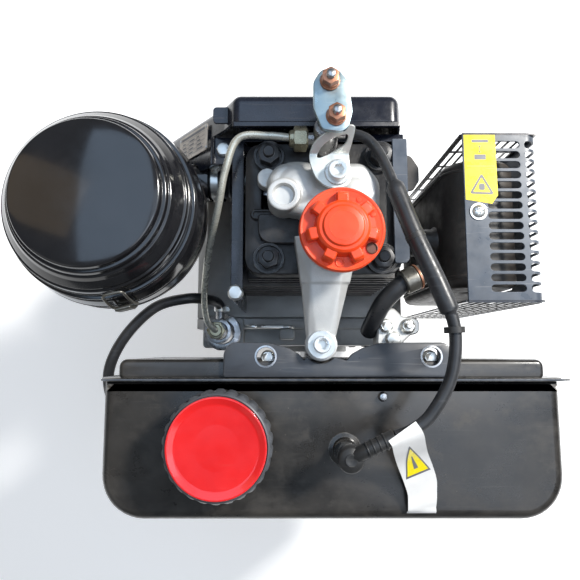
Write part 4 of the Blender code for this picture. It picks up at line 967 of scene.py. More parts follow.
def muffler_guard():
    low, high = GUARD_LOW, GUARD_HIGH
    thick = 1.6
    bend = 10.0
    top_run = high.x - bend - low.x
    bend_run = math.pi / 2 * bend
    full = top_run + bend_run + (high.z - bend - low.z)

    def fold(along, across, lift):
        """From the flat sheet to the bent one."""
        if along <= top_run:
            return Vector((low.x + along, across, high.z + lift))
        if along <= top_run + bend_run:
            angle = (along - top_run) / bend
            reach = bend + lift
            return Vector((high.x - bend + reach * math.sin(angle), across, high.z - bend + reach * math.cos(angle)))
        return Vector((high.x + lift, across, high.z - bend - (along - top_run - bend_run)))

    pitch = 8.15
    first_row = low.y + 11.0
    rows = 15
    sheet = slab([(0, low.y), (full, low.y), (full, high.y), (0, high.y)], -thick, 0)
    slots = []
    for n in range(rows):
        y = first_row + n * pitch
        slots.append(slab(slot_outline(18.0, 45.0, y, 5.6, 5), -5, 5))
        slots.append(slab(slot_outline(48.8, 78.0, y, 6.1, 5), -5, 5))
        slots.append(slab(slot_outline(112.0, 168.0, y, 5.4, 5), -5, 5))
    cut(sheet, together(slots))
    bent(sheet, fold, [top_run + bend_run * step / 13 for step in range(14)], (1, 0, 0))
    piece("guard_sheet", sheet, "blue_steel", replaces="muffler_guard", bevel=0.35, angle=55)
    walls = []
    for y, inward in ((low.y + 0.6, 1), (high.y - 0.6, -1)):
        x0, x1, z0, z1 = low.x + 0.6, high.x - 2.4, low.z + 24, high.z - 1.8
        for a, b in (((x0, z0), (x1, z0)), ((x1, z0), (x1, z1)), ((x1, z1), (x0, z1)), ((x0, z1), (x0, z0))):
            walls.append(strip_between(a, b, y, y + 1.3 * inward, 4.0))
        for n in range(1, 8):
            x = x0 + (x1 - x0) * n / 8
            walls.append(strip_between((x, z0), (x, z1), y + 0.1 * inward, y + 1.0 * inward, 1.8))
        for n in range(1, 6):
            z = z0 + (z1 - z0) * n / 6
            walls.append(strip_between((x0, z), (x1, z), y + 0.1 * inward, y + 1.2 * inward, 2.4))
    piece("guard_mesh", together(walls), "satin_black")
    shift_x, shift_y = low.x - 112.6, high.y - 59.4
    label = slab([(113.6, 5), (134, 1.6), (138.8, 8.5), (138.5, 58.8), (113.8, 58.8)], high.z + 0.02, high.z + 0.16)
    piece("guard_label", shift(label, shift_x, shift_y), "label_yellow")
    triangle = [(116.6, 9.6), (136.0, 9.0), (126.6, 26.2)]
    frame_mark = slab(fillet(triangle, 1.2, 4), 0, 0.1)
    cut(frame_mark, slab(fillet(inset(triangle, 1.6), 0.6, 3), -1, 1))
    marks = [frame_mark]
    for x, y, corner in (((121.6, 130.6), (37.2, 41.4), 0.5), ((125.7, 126.2), (43, 48.5), 0),
                         ((124.8, 127.2), (43, 43.6), 0), ((124.8, 127.2), (48, 48.6), 0),
                         ((119.8, 133), (51.2, 53.6), 0.8), ((124.2, 128.8), (12.6, 17.8), 1.4),
                         ((115.4, 137), (31.8, 32.1), 0)):
        marks.append(block(x, y, (0, 0.1), corner))
    piece("guard_label_marks", shift(together(marks), shift_x, shift_y, high.z + 0.14), "label_print")
    spot = (low.x + 10.5, high.y - 64)
    screw = phillips_screw(5.2, (*spot, high.z + 0.7))
    piece("guard_screw", together([screw, washer(7.0, 0, 0.8, (*spot, high.z))]), "zinc", bevel=0.15)


def strip_between(a, b, y0, y1, width):
    """A flat bar between two (x, z) points, in the plane of the guard's end walls."""
    line = (Vector(b) - Vector(a)).normalized()
    side = Vector((-line.y, line.x)) * width / 2
    corners = [Vector(a) - side, Vector(b) - side, Vector(b) + side, Vector(a) + side]
    return slab([tuple(c) for c in corners], min(y0, y1), max(y0, y1), "Y")


def fuel_tank():
    low, high = TANK_LOW, TANK_HIGH
    top = TANK_TOP
    left, right = low.x + 5.0, high.x - 6.0
    outline = fillet([(left, low.y), (right, low.y), (right, -133), (left, -133)], [34, 34, 3, 3], 10)
    front = layered(outline, round_levels(247, top, 9, 6))
    rear = layered(box_outline(-163, 172, -134, -117.1, 6), round_levels(255, top - 0.5, 4))
    flange = layered(box_outline(low.x, high.x, low.z, 387, 20, 8), [(-134.4, 0.6), (-133.9, 0), (-132.2, 0),
                                                                       (-131.7, 0.6)], "Y")
    ears = []
    for x, way in ((low.x + 16, -1), (high.x - 12, 1)):
        ears.append(hull([(x, y, z) for y in (-134, -132) for z in (383, 387)]
                         + [(x + way * 11, y, z) for y in (-133.6, -132.4) for z in (384.5, 386.5)]))
    seats = [turned([(top - 2, 38), (top + 0.4, 37), (top + 2.2, 34.5), (398, 33), (398, 29), (top - 2, 29)],
                    FILLER, steps=72),
             turned([(top - 2, 0), (top - 2, 13), (top + 0.6, 12.5), (top + 1.4, 9.6), (389.6, 9), (389.6, 0)],
                    RETURN_SEAT, steps=40),
             cylinder(4, 232, 250, TANK_SPIGOT)]
    straps = [layered(box_outline(x - 11, x + 11, low.y + 2, -140, 4), [(246.0, 0), (247.6, 0)]) for x in (-110, 110)]
    shapes = together([front, rear, flange, *seats, *straps, *ears])
    piece("tank_shell", shapes, "tank_black", replaces="fuel_tank", sharp=50)
    # The flange's top edge as a thin bead in a lighter blued finish than the tank: a painted highlight along the seam.
    seam = tube([(low.x + 6, -133, 387), (-80, -133, 387.05), (60, -133, 387.05), (high.x - 5, -133, 387)],
                0.45, 4, 3)
    piece("tank_seam_highlight_bead", seam, "blue_steel")
    stud = turned([(top - 0.5, 0), (top - 0.5, 4.2), (top + 0.8, 3.4), (387.4, 2.6), (388, 0)], (44, -146), steps=28)
    piece("tank_stud", stud, "steel")


def tank_bracket():
    low, high = node_box("tank_bracket")
    lug = Vector(LUG)
    left = [(low.x, low.y), (low.x, -112), (low.x + 5, high.y)]
    swoop_left = [(-62, high.y), (-44, high.y - 0.5), (-30, high.y - 4), (-21, -113), (-17, -118)]
    notch = arc(tuple(lug), 14.2, 222, 318, 12)
    swoop_right = [(16, -118), (20, -113), (29, high.y - 4), (42, high.y - 0.5), (62, high.y)]
    right = [(high.x - 5, high.y), (high.x, -112), (high.x, low.y)]
    outline = left + swoop_left + notch + swoop_right + right
    radii = [2, 8, 8] + [14, 14, 14, 8, 2] + [0] * len(notch) + [2, 8, 14, 14, 14] + [8, 8, 2]
    plate = layered(list(reversed(fillet(outline, radii, 5))), [(low.z, 0.6), (low.z + 0.6, 0), (high.z - 1.2, 0),
                                                                (high.z - 0.4, 0.35), (high.z, 1.2)])
    holes = [cylinder(r, low.z - 3, high.z + 3, (x, -115)) for x, r in ((-47, 7), (82, 7))]
    cut(plate, *holes)
    piece("bracket_bar", plate, "bracket_grey", replaces="tank_bracket", sharp=28)
    rims = [turned([(high.z - 0.2, 7.0), (high.z + 0.25, 7.3), (high.z + 0.1, 8.6), (high.z - 0.3, 8.9)], (x, -115),
                   steps=40) for x in (-47, 82)]
    piece("bracket_hole_rims", together(rims), "steel")
    under = [bolt(9.5, (x + 1.5, -116, TANK_TOP - 9), height=7.5, flange=6.2) for x in (-47, 82)]
    piece("bracket_bolts", together(under), "zinc", bevel=0.3)
    corner = [layered(box_outline(x0, x1, -131.6, -107, 3), [(low.z - 22, 0), (low.z + 0.5, 0)])
              for x0, x1 in ((low.x + 3, low.x + 5.5), (high.x - 5.5, high.x - 3))]
    piece("bracket_ends", together(corner), "bracket_grey", bevel=0.6)


def fuel_cap():
    low, high = node_box("fuel_cap")
    radius = (high.x - low.x) / 2
    count = 26

    def scallops(reach, level, angle):
        depth = 1.7 if reach > radius - 3 and level < high.z - 4 else 0.0
        return reach - depth * (0.5 + 0.5 * math.cos(angle * count)) ** 3
    side = fillet([(low.z + 0.1, radius - 0.8), (low.z + 2, radius), (high.z - 6.5, radius - 0.3), (high.z - 3.2, 37.4),
                   (high.z - 2.4, 36.2)], [0, 1, 2.2, 1.5, 0], 4, False)
    ring = turned([(high.z - 3.4, 0), (high.z - 3.4, 35.9)] + list(reversed(side)) + [(low.z + 0.1, 36.6),
                                                                                  (low.z + 6, 36.2), (low.z + 6, 0)],
                  FILLER, steps=208, ripple=scallops)
    piece("tank_cap", ring, "grey_plastic", "fuel_cap_body", "fuel_cap", bevel=0.25, angle=40)
    dish = fillet([(high.z - 3.2, 35.4), (high.z - 0.1, 35.5), (high.z - 0.1, 34.2), (high.z - 1.7, 30),
                   (high.z - 2.2, 16), (high.z - 2.3, 0)], [0, 0.9, 1.1, 6, 10, 0], 6, False)
    disc = turned([(high.z - 3.3, 0)] + dish, FILLER, steps=120)
    piece("tank_cap_disc", disc, "red", "fuel_cap_body", sharp=50)
    seal = turned([(390.2, 22.2), (390.2, 27.3), (398.3, 27.3), (398.3, 32.8), (400.0, 32.8), (400.0, 22.2)],
                  FILLER, steps=72)
    piece("tank_cap_seal", seal, "rubber", "fuel_cap_lifted", "fuel_cap_seal", bevel=0.4)


def tag():
    """The blank paper tag tied to the return fitting, with a plain triangle."""
    rows = [((48, -165, 430.6), 23), ((52, -171, 429.5), 23.4), ((55.5, -179, 420), 23.6), ((60, -188, 408), 23.8),
            ((65.5, -199, 399), 24.2), ((69.5, -209, 393.5), 24), ((71, -217, 390), 22.4), ((71.5, -226, 387.0), 22.2),
            ((71.7, -233, 382.5), 22.2), ((71.8, -237.5, 374), 22), ((71.8, -239.0, 358), 22)]
    centres = smooth_route([row[0] for row in rows], 4)
    widths = smooth_route([(row[1], 0, 0) for row in rows], 4)
    bm = bmesh.new()
    edges = []
    for i, centre in enumerate(centres):
        run = (centres[min(i + 1, len(centres) - 1)] - centres[max(i - 1, 0)]).normalized()
        side = Vector((0.93, 0.3, 0.0)) if i < len(centres) * 0.75 else Vector((1, 0, 0))
        side = (side - run * side.dot(run)).normalized() * widths[i].x / 2
        lift = run.cross(side).normalized() * -0.2
        edges.append([bm.verts.new((centre + side * t + lift * u) * MM)
                      for t, u in [(t / 2, -1) for t in range(-2, 3)] + [(-t / 2, 1) for t in range(-2, 3)]])
    for near, far in zip(edges, edges[1:]):
        for k in range(10):
            m = (k + 1) % 10
            bm.faces.new((near[k], near[m], far[m], far[k]))
    bm.faces.new(edges[0])
    bm.faces.new(edges[-1])
    paper = make_object(bm)
    piece("paper_tag", paper, "tag_paper", sharp=60)

    def film(start, end, half, lift):
        """A patch that follows the bent paper from share start to share end, tapering from its half width."""
        strip = bmesh.new()
        rings = []
        for k in range(11):
            share = (start + (end - start) * k / 10) * (len(centres) - 1)
            i = min(int(share), len(centres) - 2)
            centre = centres[i].lerp(centres[i + 1], share - i)
            run = (centres[i + 1] - centres[i]).normalized()
            side = Vector((0.93, 0.3, 0.0))
            side = (side - run * side.dot(run)).normalized()
            up = side.cross(run).normalized()
            up = up if up.z > 0 else -up
            reach = half * (1 - k / 10) + 0.25
            rings.append([strip.verts.new((centre + side * a * reach + up * (0.2 + lift + b)) * MM)
                          for a, b in ((-1, 0), (1, 0), (1, 0.1), (-1, 0.1))])
        for near, far in zip(rings, rings[1:]):
            for k in range(4):
                strip.faces.new((near[k], near[(k + 1) % 4], far[(k + 1) % 4], far[k]))
        strip.faces.new(rings[0])
        strip.faces.new(rings[-1])
        return make_object(strip)
    piece("tag_triangle_edge", film(0.42, 0.17, 9.6, 0.02), "label_print", sharp=60)
    piece("tag_triangle", film(0.405, 0.2, 8.0, 0.14), "label_yellow", sharp=60)
    piece("tag_triangle_mark", film(0.37, 0.27, 1.4, 0.26), "label_print", sharp=60)


# ---------------------------------------------------------------- top of the engine


def oil_cap():
    low, high = node_box("oil_filler_cap")
    flange = turned([(434.5, 0)] + fillet([(434.5, 30.3), (438.2, 30.4), (439.4, 28.6), (438.9, 24), (439.2, 19.9)],
                                         0.8, 4, False) + [(438, 19.9), (438, 0)], OIL_NECK, steps=120)
    rim = turned([(438.4, 27.6), (439.6, 27.8), (439.9, 29.3), (438.6, 30.2)], OIL_NECK, steps=120)
    hub = turned([(437, 0), (437, 20.2)] + fillet([(439, 20.2), (447.4, 18.6), (448.9, 16.6), (449.0, 14.6),
                                                 (450.4, 13.6), (high.z - 0.1, 10), (high.z, 0)],
                                                [0, 1.8, 0.8, 0.8, 0.9, 4, 0], 5, False), OIL_NECK, steps=120)
    lugs = []
    for n in range(7):
        angle = math.radians(90 + 360 / 7 * n)
        half = 4.3
        profile = [(15, 438), (26.6, 438), (25.6, 444.6), (23.6, 446.9), (15, 447.4)]
        lug = layered(fillet(profile, [0, 0, 1.6, 1.6, 0], 4), [(-half, 0.9), (-half + 0.9, 0), (half - 0.9, 0),
                                                                (half, 0.9)], "Y")
        turn(lug, angle, "Z")
        lugs.append(shift(lug, *OIL_NECK))
    mark = turned([(439.2, 3.4), (439.75, 3.0), (439.75, 2.4), (439.2, 2.0)],
                  (OIL_NECK[0] - 2, OIL_NECK[1] - 24), steps=24)
    piece("oil_cap_body", together([flange, rim, hub, mark, *lugs]), "orange", "oil_cap", "oil_filler_cap", bevel=0.25,
          angle=45)
    ring = turned([(high.z - 0.35, 9.6), (high.z, 9.9), (high.z - 0.05, 10.3), (high.z - 0.5, 10.6)], OIL_NECK,
                  steps=72)
    bumps = [ring]
    for n in range(3):
        angle = math.radians(25 + 35 * n)
        bumps.append(turned([(439.0, 0), (439.0, 1.9), (439.6, 1.6), (439.7, 0)],
                            (OIL_NECK[0] + 24 * math.cos(angle), OIL_NECK[1] + 24 * math.sin(angle)), steps=20))
    piece("oil_cap_moulding", together(bumps), "orange", "oil_cap")
    hole = turned([(438.9, 0), (438.9, 3.9), (439.9, 4.2), (440.2, 3.6), (439.3, 3.2), (439.25, 0)],
                  (OIL_NECK[0] + 20.4, OIL_NECK[1] - 13.8), steps=32)
    piece("oil_cap_vent", hole, "vent_brown", "oil_cap")
    low = node_box("oil_cap_seal")[0]
    plug = turned([(low.z, 0), (low.z, 15.6), (421, 17), (432, 17), (432, 23.6), (433.9, 23.6), (433.9, 0)], OIL_NECK,
                  steps=64)
    piece("oil_cap_plug", plug, "rubber", "oil_cap_lifted", "oil_cap_seal", bevel=0.5)


def rocker_cover():
    """The bare casting: body, bosses, filler neck and the long nose, run together; the flange stays a piece of its own.
    """
    parts = [layered(fillet([(-20, -26), (41.5, -26), (41.5, 34.8), (-20, 34.8)],
                            [4, 10, 12, 4], 6), [(385.6, 0), (389.6, 0), (390.4, 0.8)]),
             layered(fillet([(-45, -3), (-18, -8), (-16, -24.5), (41, -24.5), (41.5, 20), (30, 34.5), (-38, 34.5),
                             (-46, 22)], [10, 6, 4, 12, 16, 14, 14, 12], 7), round_levels(386, 408.5, 6.5)),
             turned([(386, 0)] + [(402 + 9.6 * math.sin(a), 21 * math.cos(a)) for a in
                                  (0, 0.25, 0.5, 0.75, 1.0, 1.25, 1.45)] + [(411.7, 0)], (-22, 16), steps=64),
             turned([(386, 0)] + [(401 + 10.4 * math.sin(a), 19 * math.cos(a)) for a in
                                  (0, 0.25, 0.5, 0.75, 1.0, 1.25, 1.45)] + [(411.5, 0)], (21, 9), steps=64),
             turned([(396, 0), (396, 24.6), (430.8, 24.6), (431.4, 23.8), (431.4, 0)], OIL_NECK, steps=64),
             turned([(387, 0), (387, 12.8), (413.2, 12.8), (413.8, 12.2), (413.8, 0)], (-33, 7), steps=48),
             turned([(387, 0), (387, 9.8), (417.2, 9.8), (417.5, 9.4), (417.5, 0)], (7, 24), steps=48),
             hull([(-25, -24, 386), (25, -24, 386), (25, -24, 407), (-25, -24, 407), (-12, -24, 411), (12, -24, 411),
                   (-20, -59, 386), (18, -59, 386), (18, -59, 399), (-20, -59, 399), (-12, -59, 403), (10, -59, 403)]),
             hull([(-20, -55, 386), (18, -55, 386), (18, -55, 398), (-20, -55, 398), (-13, -55, 403.4),
                   (11, -55, 403.4), (-15.5, -101, 384.6), (7.5, -101, 384.6), (7, -101, 391), (-14, -101, 391),
                   (-8, -101, 392.6), (2, -101, 392.6)]),
             turned([(384.6, 0), (384.6, 12.6), (391.6, 12.6), (392.4, 11.8), (392.4, 0)], LUG, steps=56),
             turned([(386, 0), (386, 9.5), (396, 8.5), (396, 0)], (30, -17), steps=40),
             turned([(386, 0), (386, 9), (394.5, 8), (394.5, 0)], (-46, 26), steps=40)]
    body = melted(join(parts[1], *parts[2:]), 0.75, 7)
    piece("valve_cover_flange", parts[0], "cast", bevel=0.5)
    bm = bmesh.new()
    bm.from_mesh(body.data)
    low, high = (v * MM for v in node_box("rocker_cover"))
    for vert in bm.verts:
        vert.co = Vector(max(a, min(b, c)) for a, b, c in zip(low, high, vert.co))
    bm.to_mesh(body.data)
    bm.free()
    cut(body, turned([(394, 0), (394, 18), (429.6, 18), (432, 20.4), (434, 20.4), (434, 0)], OIL_NECK, steps=64),
        turned([(409.5, 0), (409.5, 7.4), (412.4, 8), (416, 9.6), (416, 0)], (-33, 7), steps=48),
        cylinder(4.6, 380, 396, LUG))
    piece("valve_cover", body, "cast", replaces="rocker_cover", sharp=38)
    deck = layered(fillet([(-53.5, -26), (-18, -26), (-18, -2), (-53.5, -2)], [12, 0, 0, 3], 6),
                   [(385.4, 0), (388.6, 0), (389.4, 0.8)])
    piece("head_deck", deck, "dark_casting")
    screw = [socket_screw(6.5, (*LUG, 395.3), height=7.5, key=3.5), washer(11, 393.2, 395.2, (*LUG, 0))]
    piece("lug_screw", together(screw), "zinc", replaces="rocker_cover_screw", bevel=0.2)
    piece("lug_spacer", cylinder(8.5, 392.3, 393.4, LUG), "zinc")


def head_nuts():
    for n in (1, 2, 3, 4):
        low, high = node_box(f"head_nut_{n}")
        foot = ((low.x + high.x) / 2, (low.y + high.y) / 2, low.z)
        shapes = [washer(10.4, 0, 2.5, foot), hex_head(15.6, 2.4, 11.6, foot, turn_by=0.35 * n, both=True)]
        shapes.append(turned([(10, 0), (10, 4.6), (15.0, 4.6), (15.8, 3.8), (15.8, 0)], steps=28))
        aim(shapes[-1], foot, (0, 0, 1))
        piece(f"stud_nut_{n}", together(shapes), "black_oxide", replaces=f"head_nut_{n}", bevel=0.2)
        seat = turned([(0.0, 10.4), (0.0, 12.6), (0.7, 12.2), (0.7, 10.4)], steps=48)
        piece(f"stud_seat_{n}", aim(seat, (foot[0], foot[1], HEAD_TOP + 0.02), (0, 0, 1)), "black_oxide")


def injector_and_pipe():
    foot, lean = INJECTOR_FOOT, INJECTOR_LINE
    body = turned([(0, 0), (0, 3.8), (22, 3.8), (22, 8.4), (60, 8.4), (61, 9.2), (69, 9.2), (70, 8.5), (70.5, 9.9),
                   (90, 9.9), (91.5, 9.0), (92, 6), (107, 6), (107.8, 5), (107.8, 0)], steps=48)
    aim(body, foot, lean)
    collar = hex_head(17.6, 71, 79, foot, lean, both=True)
    top = foot + lean * ((400 - foot.z) / lean.z)
    side = tube([(-1, top.y, 400), (-14, top.y, 400)], 5, 2)
    leak = foot + lean * ((406 - foot.z) / lean.z)
    stub = tube([(2, leak.y, 406), (15, leak.y, 406)], 3.9, 2)
    piece("injector_body", together([body, collar, side, stub]), "steel", replaces="injector", bevel=0.25, angle=40)

    route = [(-20, top.y, 400), (-45, 58, 401), (-69, 57, 398), (-80, 34, 390), (-87, 8, 376), (-100, -26, 340),
             (-107, -60, 314), (-106, -82, 300), (-100, -90, 293), (*PUMP, 286)]
    piece("pressure_pipe", tube(route, 3, 12, 8), "pipe_zinc", replaces="injection_pipe")
    entry = (-14.6, top.y, 400)
    nut = [hex_head(17.6, 0.0, 10.6, entry, (-1, 0, 0), both=True, turn_by=0.26),
           aim(turned([(10, 0), (10, 7.2), (13.6, 6.6), (14.3, 5.4), (14.3, 0)], steps=40), entry, (-1, 0, 0)),
           aim(turned([(-0.8, 0), (-0.8, 7.6), (0.4, 7.9), (0.4, 0)], steps=40), entry, (-1, 0, 0))]
    piece("union_nut_head", together(nut), "yellow_zinc", bevel=0.3)
    low = hex_head(16, 281.4, 290, (*PUMP, 0), both=True)
    neck = aim(turned([(289.6, 0), (289.6, 6.4), (292, 5.6), (292, 0)], steps=32), (*PUMP, 0), (0, 0, 1))
    piece("union_nut_pump", together([low, neck]), "yellow_zinc", bevel=0.3)
    return leak


def bezier_outline(points, steps):
    """A closed smooth outline through flat points."""
    loop = [Vector((*p, 0)) for p in points]
    count = len(loop)
    out = []
    for i in range(count):
        a, b, c, d = loop[i - 1], loop[i], loop[(i + 1) % count], loop[(i + 2) % count]
        for k in range(steps):
            out.append(tuple(between(a, b, c, d, k / steps).xy))
    return out


def lifting_bracket():
    """A pressed lug: a flat foot under the screw, then a curved sheet with a crescent slot that rises to the plate."""
    thick = 2.8
    rise = math.radians(38)

    def fold(x, along, lift):
        """From the flat blank, along measured from the foot, to the folded lug."""
        back, seat, flat, radius = 12, 418.2, 22.0, 6.0
        if along <= flat:
            return Vector((x, back + along, seat + lift))
        bend = min((along - flat) / radius, rise)
        base = Vector((x, back + flat + (radius - lift) * math.sin(bend),
                       seat + radius - (radius - lift) * math.cos(bend)))
        run = max(along - flat - radius * rise, 0.0)
        return base + Vector((0, math.cos(rise), math.sin(rise))) * run
    blank = [(-1, -1.5), (7, -3), (14.6, -0.5), (17.4, 7), (16.2, 16), (15.8, 25), (17.6, 34), (18.6, 45.4), (9, 44.5),
             (-3, 39.8), (-11, 32.5), (-14, 21), (-10.5, 8), (-6, 2)]
    sheet = slab(bezier_outline(blank, 6), 0, thick)
    crescent = [(-8, 21), (-6.5, 27.5), (-1.5, 33.5), (6, 37.6), (13, 39.5), (14.2, 36.5), (11.5, 31.5), (4, 26.5),
                (-3, 21.6)]
    cut(sheet, slab(bezier_outline(crescent, 5), -4, 9))
    bent(sheet, fold, [22.5 + step * 0.4 for step in range(17)], (0, 1, 0))
    piece("lifting_lug", sheet, "pale_zinc", replaces="lifting_bracket", bevel=0.45, angle=50)
    screw = [socket_screw(7.4, (*LIFTING_SCREW, 422.4), height=7.2, key=3.7),
             washer(9.6, 421.1, 422.5, (*LIFTING_SCREW, 0))]
    piece("lug_head_screw", together(screw), "zinc", replaces="lifting_bracket_screw", bevel=0.2)
    post = layered(box_outline(-7, 11, 57, 76, 5, 4), [(392, 0), (440.2, 0)])
    piece("plate_support", post, "dark_casting", bevel=0.8)

    low, high = node_box("bracket_plate")
    lozenge = fillet([(-6, 44.5), (12, 42), (16, 58), (13.5, 80), (6, 90), (-6, 90), (-12, 80), (-12, 60)],
                     [6, 8, 14, 10, 8, 8, 10, 12], 8)
    plate = layered(lozenge, [(low.z + 0.1, 0.7), (low.z + 0.8, 0), (high.z - 1.3, 0), (high.z - 0.5, 0.4),
                              (high.z - 0.1, 1.3)])
    cut(plate, *[cylinder(3.8, low.z - 2, high.z + 2, place) for place in PLATE_STUDS])
    piece("oval_plate", plate, "blue_zinc", replaces="bracket_plate", sharp=28)
    for node, at in zip(("plate_nut_rear", "plate_nut_front"), PLATE_STUDS):
        foot = (*at, 444.5)
        nut = [hex_head(11.4, 1.2, 8.4, foot, turn_by=0.5), washer(7.3, 0, 1.4, foot),
               aim(turned([(1.2, 0), (1.2, 6.8), (3.0, 6.2), (3.0, 0)], steps=40), foot, (0, 0, 1))]
        piece(f"{node}_nut", together(nut), "copper", replaces=node, bevel=0.25)
        stud = threaded(3.15, 2.8, 2.5, 440.0, 455.6, 456.8)
        piece(f"{node}_stud", turned(stud, at, steps=28), "steel", sharp=60)


def hoses(leak):
    low_end = [(*RETURN_SEAT, 390), (*RETURN_SEAT, 408), (16, -184.5, 418), (26, -178.5, 424), (44, -170, 425)]
    elbow = tube(low_end, 5.5, 10, 8)
    head = turned([(411, 0), (411, 8.4), (412.5, 9.4), (422.5, 9.4), (424.3, 8), (425, 0)], RETURN_SEAT, steps=48)
    ridges = [aim(turned([(-0.9, 4.5), (-0.5, 6.1), (0.5, 6.1), (0.9, 4.5)], steps=32), spot, (20, 8.5, 1.2))
              for spot in ((25.5, -178.8, 423.9), (29.5, -177, 424.4), (33.5, -175, 424.7), (37.5, -173.2, 424.9))]
    nut = hex_head(14, 389.8, 396, (*RETURN_SEAT, 0), both=True)
    piece("leak_elbow", together([elbow, head, *ridges, nut]), "rubber", replaces="return_elbow", bevel=0.3, angle=50)
    dimple = [(424.9, 0), (424.9, 4.6), (425.2, 4.2), (425.2, 3.2), (424.95, 2.6), (424.95, 0)]
    piece("leak_elbow_dimple", turned(dimple, RETURN_SEAT, steps=36), "rubber")

    route = [(15.8, leak.y, 406), (21, leak.y, 406), (33, 50, 410), (44, 29, 415), (62, -27, 425), (78, -68, 430),
             (87, -96, 430), (84, -128, 428), (70, -154, 426), (57, -165, 425), (44.9, -169.6, 425)]

    def thick(share):
        """The radius factor: a tight outer sleeve over the middle of the hose."""
        if 0.335 < share < 0.555:
            return 1.72
        return 1.0 if share < 0.335 else 1.12
    piece("leak_hose", tube(route, 4, 14, 6, thick), "hose", replaces="return_hose", sharp=50)
    bands = []
    for spot, way in (((62.5, -28.5, 425.1), (17, -42, 5)), ((86.6, -96, 430), (1.2, -29, -0.6))):
        bands.append(aim(turned([(-2.2, 4), (-2.2, 7.2), (2.2, 7.2), (2.2, 4)], steps=32), spot, way))
    piece("leak_hose_bands", together(bands), "rubber", bevel=0.3)

    fuel = [(-99, -70.4, 258), (-99, -66, 259), (-101, -62, 268), (-108, -61, 286), (-126, -61, 298), (-156, -70, 301),
            (-184, -98, 300), (-199, -130, 296), (-200, -160, 276), (-192, -178, 246), (-174, -184, 222),
            (-156, -181, 212), (*TANK_SPIGOT, 222), (*TANK_SPIGOT, 231.5)]
    piece("fuel_line", tube(fuel, 5.2, 10, 6), "hose", replaces="fuel_hose")
    piece("fuel_line_clamps", together([clamp_ring(5.2, (*TANK_SPIGOT, 228), (0, 0, 1), 5),
                                        clamp_ring(5.2, (-99, -67.6, 258.6), (0, 1, 0.2), 5)]), "zinc", bevel=0.2)


def beside_the_head():
    """The small shown fittings that have no node of their own."""
    breather = tube([(72, -50, 377), (64, -56, 378), (55, -64, 376), (47, -74, 370), (42, -86, 360), (40, -94, 346)],
                    7.4, 12, 8)
    piece("breather_hose", breather, "hose")
    line = Vector((0.9, 0.42, -0.05))
    seat = (63, -56.5, 379)
    fitting = [aim(turned(profile, steps=44), seat, line)
               for profile in ([(0, 0), (0, 9.2), (1, 10.2), (11, 10.2), (12, 9.6), (12, 0)],
                               [(14, 0), (14, 8.6), (26, 8.6), (27, 7.6), (27, 0)])]
    piece("breather_fitting", together(fitting), "dull_zinc", bevel=0.3)
    seal = aim(turned([(12, 0), (12, 10.6), (13.8, 10.6), (13.8, 0)], steps=44), seat, line)
    piece("breather_washer", seal, "copper", bevel=0.3)
    lug = layered(fillet([(44, -108), (62, -108), (72, -98), (80, -96), (80, -84), (66, -82), (58, -74), (46, -80)],
                         [4, 6, 6, 5, 5, 6, 5, 5], 5), [(340, 0.6), (341, 0), (360, 0), (361.5, 1.2)])
    piece("side_lug", lug, "cast")
    bolts = [bolt(9, (52, -90, 361.5), flange=6), bolt(9, (70, -90.5, 361.5), flange=6.4, stud=2.4, thread=2),
             bolt(10, (57.5, -101, 361.5), flange=6.6)]
    piece("side_bolts", together(bolts), "zinc", bevel=0.25)
    left_bolts = [bolt(10, (-93, 53, 350.5), flange=7, stud=2.4, thread=2), bolt(10, (-72, -64, 376.6), flange=6.5),
                  bolt(10, (-84, 58, 370.2), height=4.5, flange=6)]
    piece("left_bolts", together(left_bolts), "zinc", bevel=0.25)
    ridge = layered(slot_outline(-60, -38, -2, 9, 8), [(385.1, 0), (387.6, 0), (388.6, 1.0)])
    cut(ridge, slab(slot_outline(-57.5, -40.5, -2, 4.4, 8), 386.6, 392))
    piece("head_ridge", ridge, "dark_casting", bevel=0.4)
    ear = layered(fillet([(68, 24), (78, 26), (83, 34), (83, 46), (76, 57), (68, 57)], [0, 4, 5, 5, 6, 0], 5),
                  [(360, 0.4), (360.6, 0), (362, 0), (362.6, 0.5)])
    piece("cowl_ear", ear, "muffler_paint")
    # A flat strip along the cowl's edge in a lighter blued finish than the cowl's satin black: a painted sheen.
    strip = layered(fillet([(54.5, -42), (66.5, -42), (66.5, 60), (54.5, 60)], [2, 5, 1, 1], 5),
                    [(HEAD_TOP + 0.1, 0.2), (HEAD_TOP + 0.4, 0), (HEAD_TOP + 1.4, 0), (HEAD_TOP + 1.9, 0.5)])
    piece("cowl_edge_sheen_strip", strip, "blue_steel")


def lower_engine():
    """Screws and plugs on the cover, the feet and the case."""
    face = node_box("crankcase_cover")[0].y + 11
    bolts = [socket_screw(4.6, (x, face, z), (0, -1, 0), 5.5, 2.6) for x in (-60, 60) for z in (75, 195)]
    piece("cover_bolts", together(bolts), "black_oxide", bevel=0.2)
    edge = [bolt(10, foot, (0, -1, 0), 6.0, 7) for foot in ((-70, -87.2, 30), (70, -87.2, 30), (-88, -87.2, 120),
                                                           (88, -87.2, 120))]
    piece("cover_edge_bolts", together(edge), "zinc", bevel=0.25)
    plug = bolt(17, (-86, -20, 30), (-1, 0.0, 0.0), 9, 12)
    piece("drain_plug", plug, "zinc", bevel=0.4)


# ---------------------------------------------------------------- the CAD nodes that stay

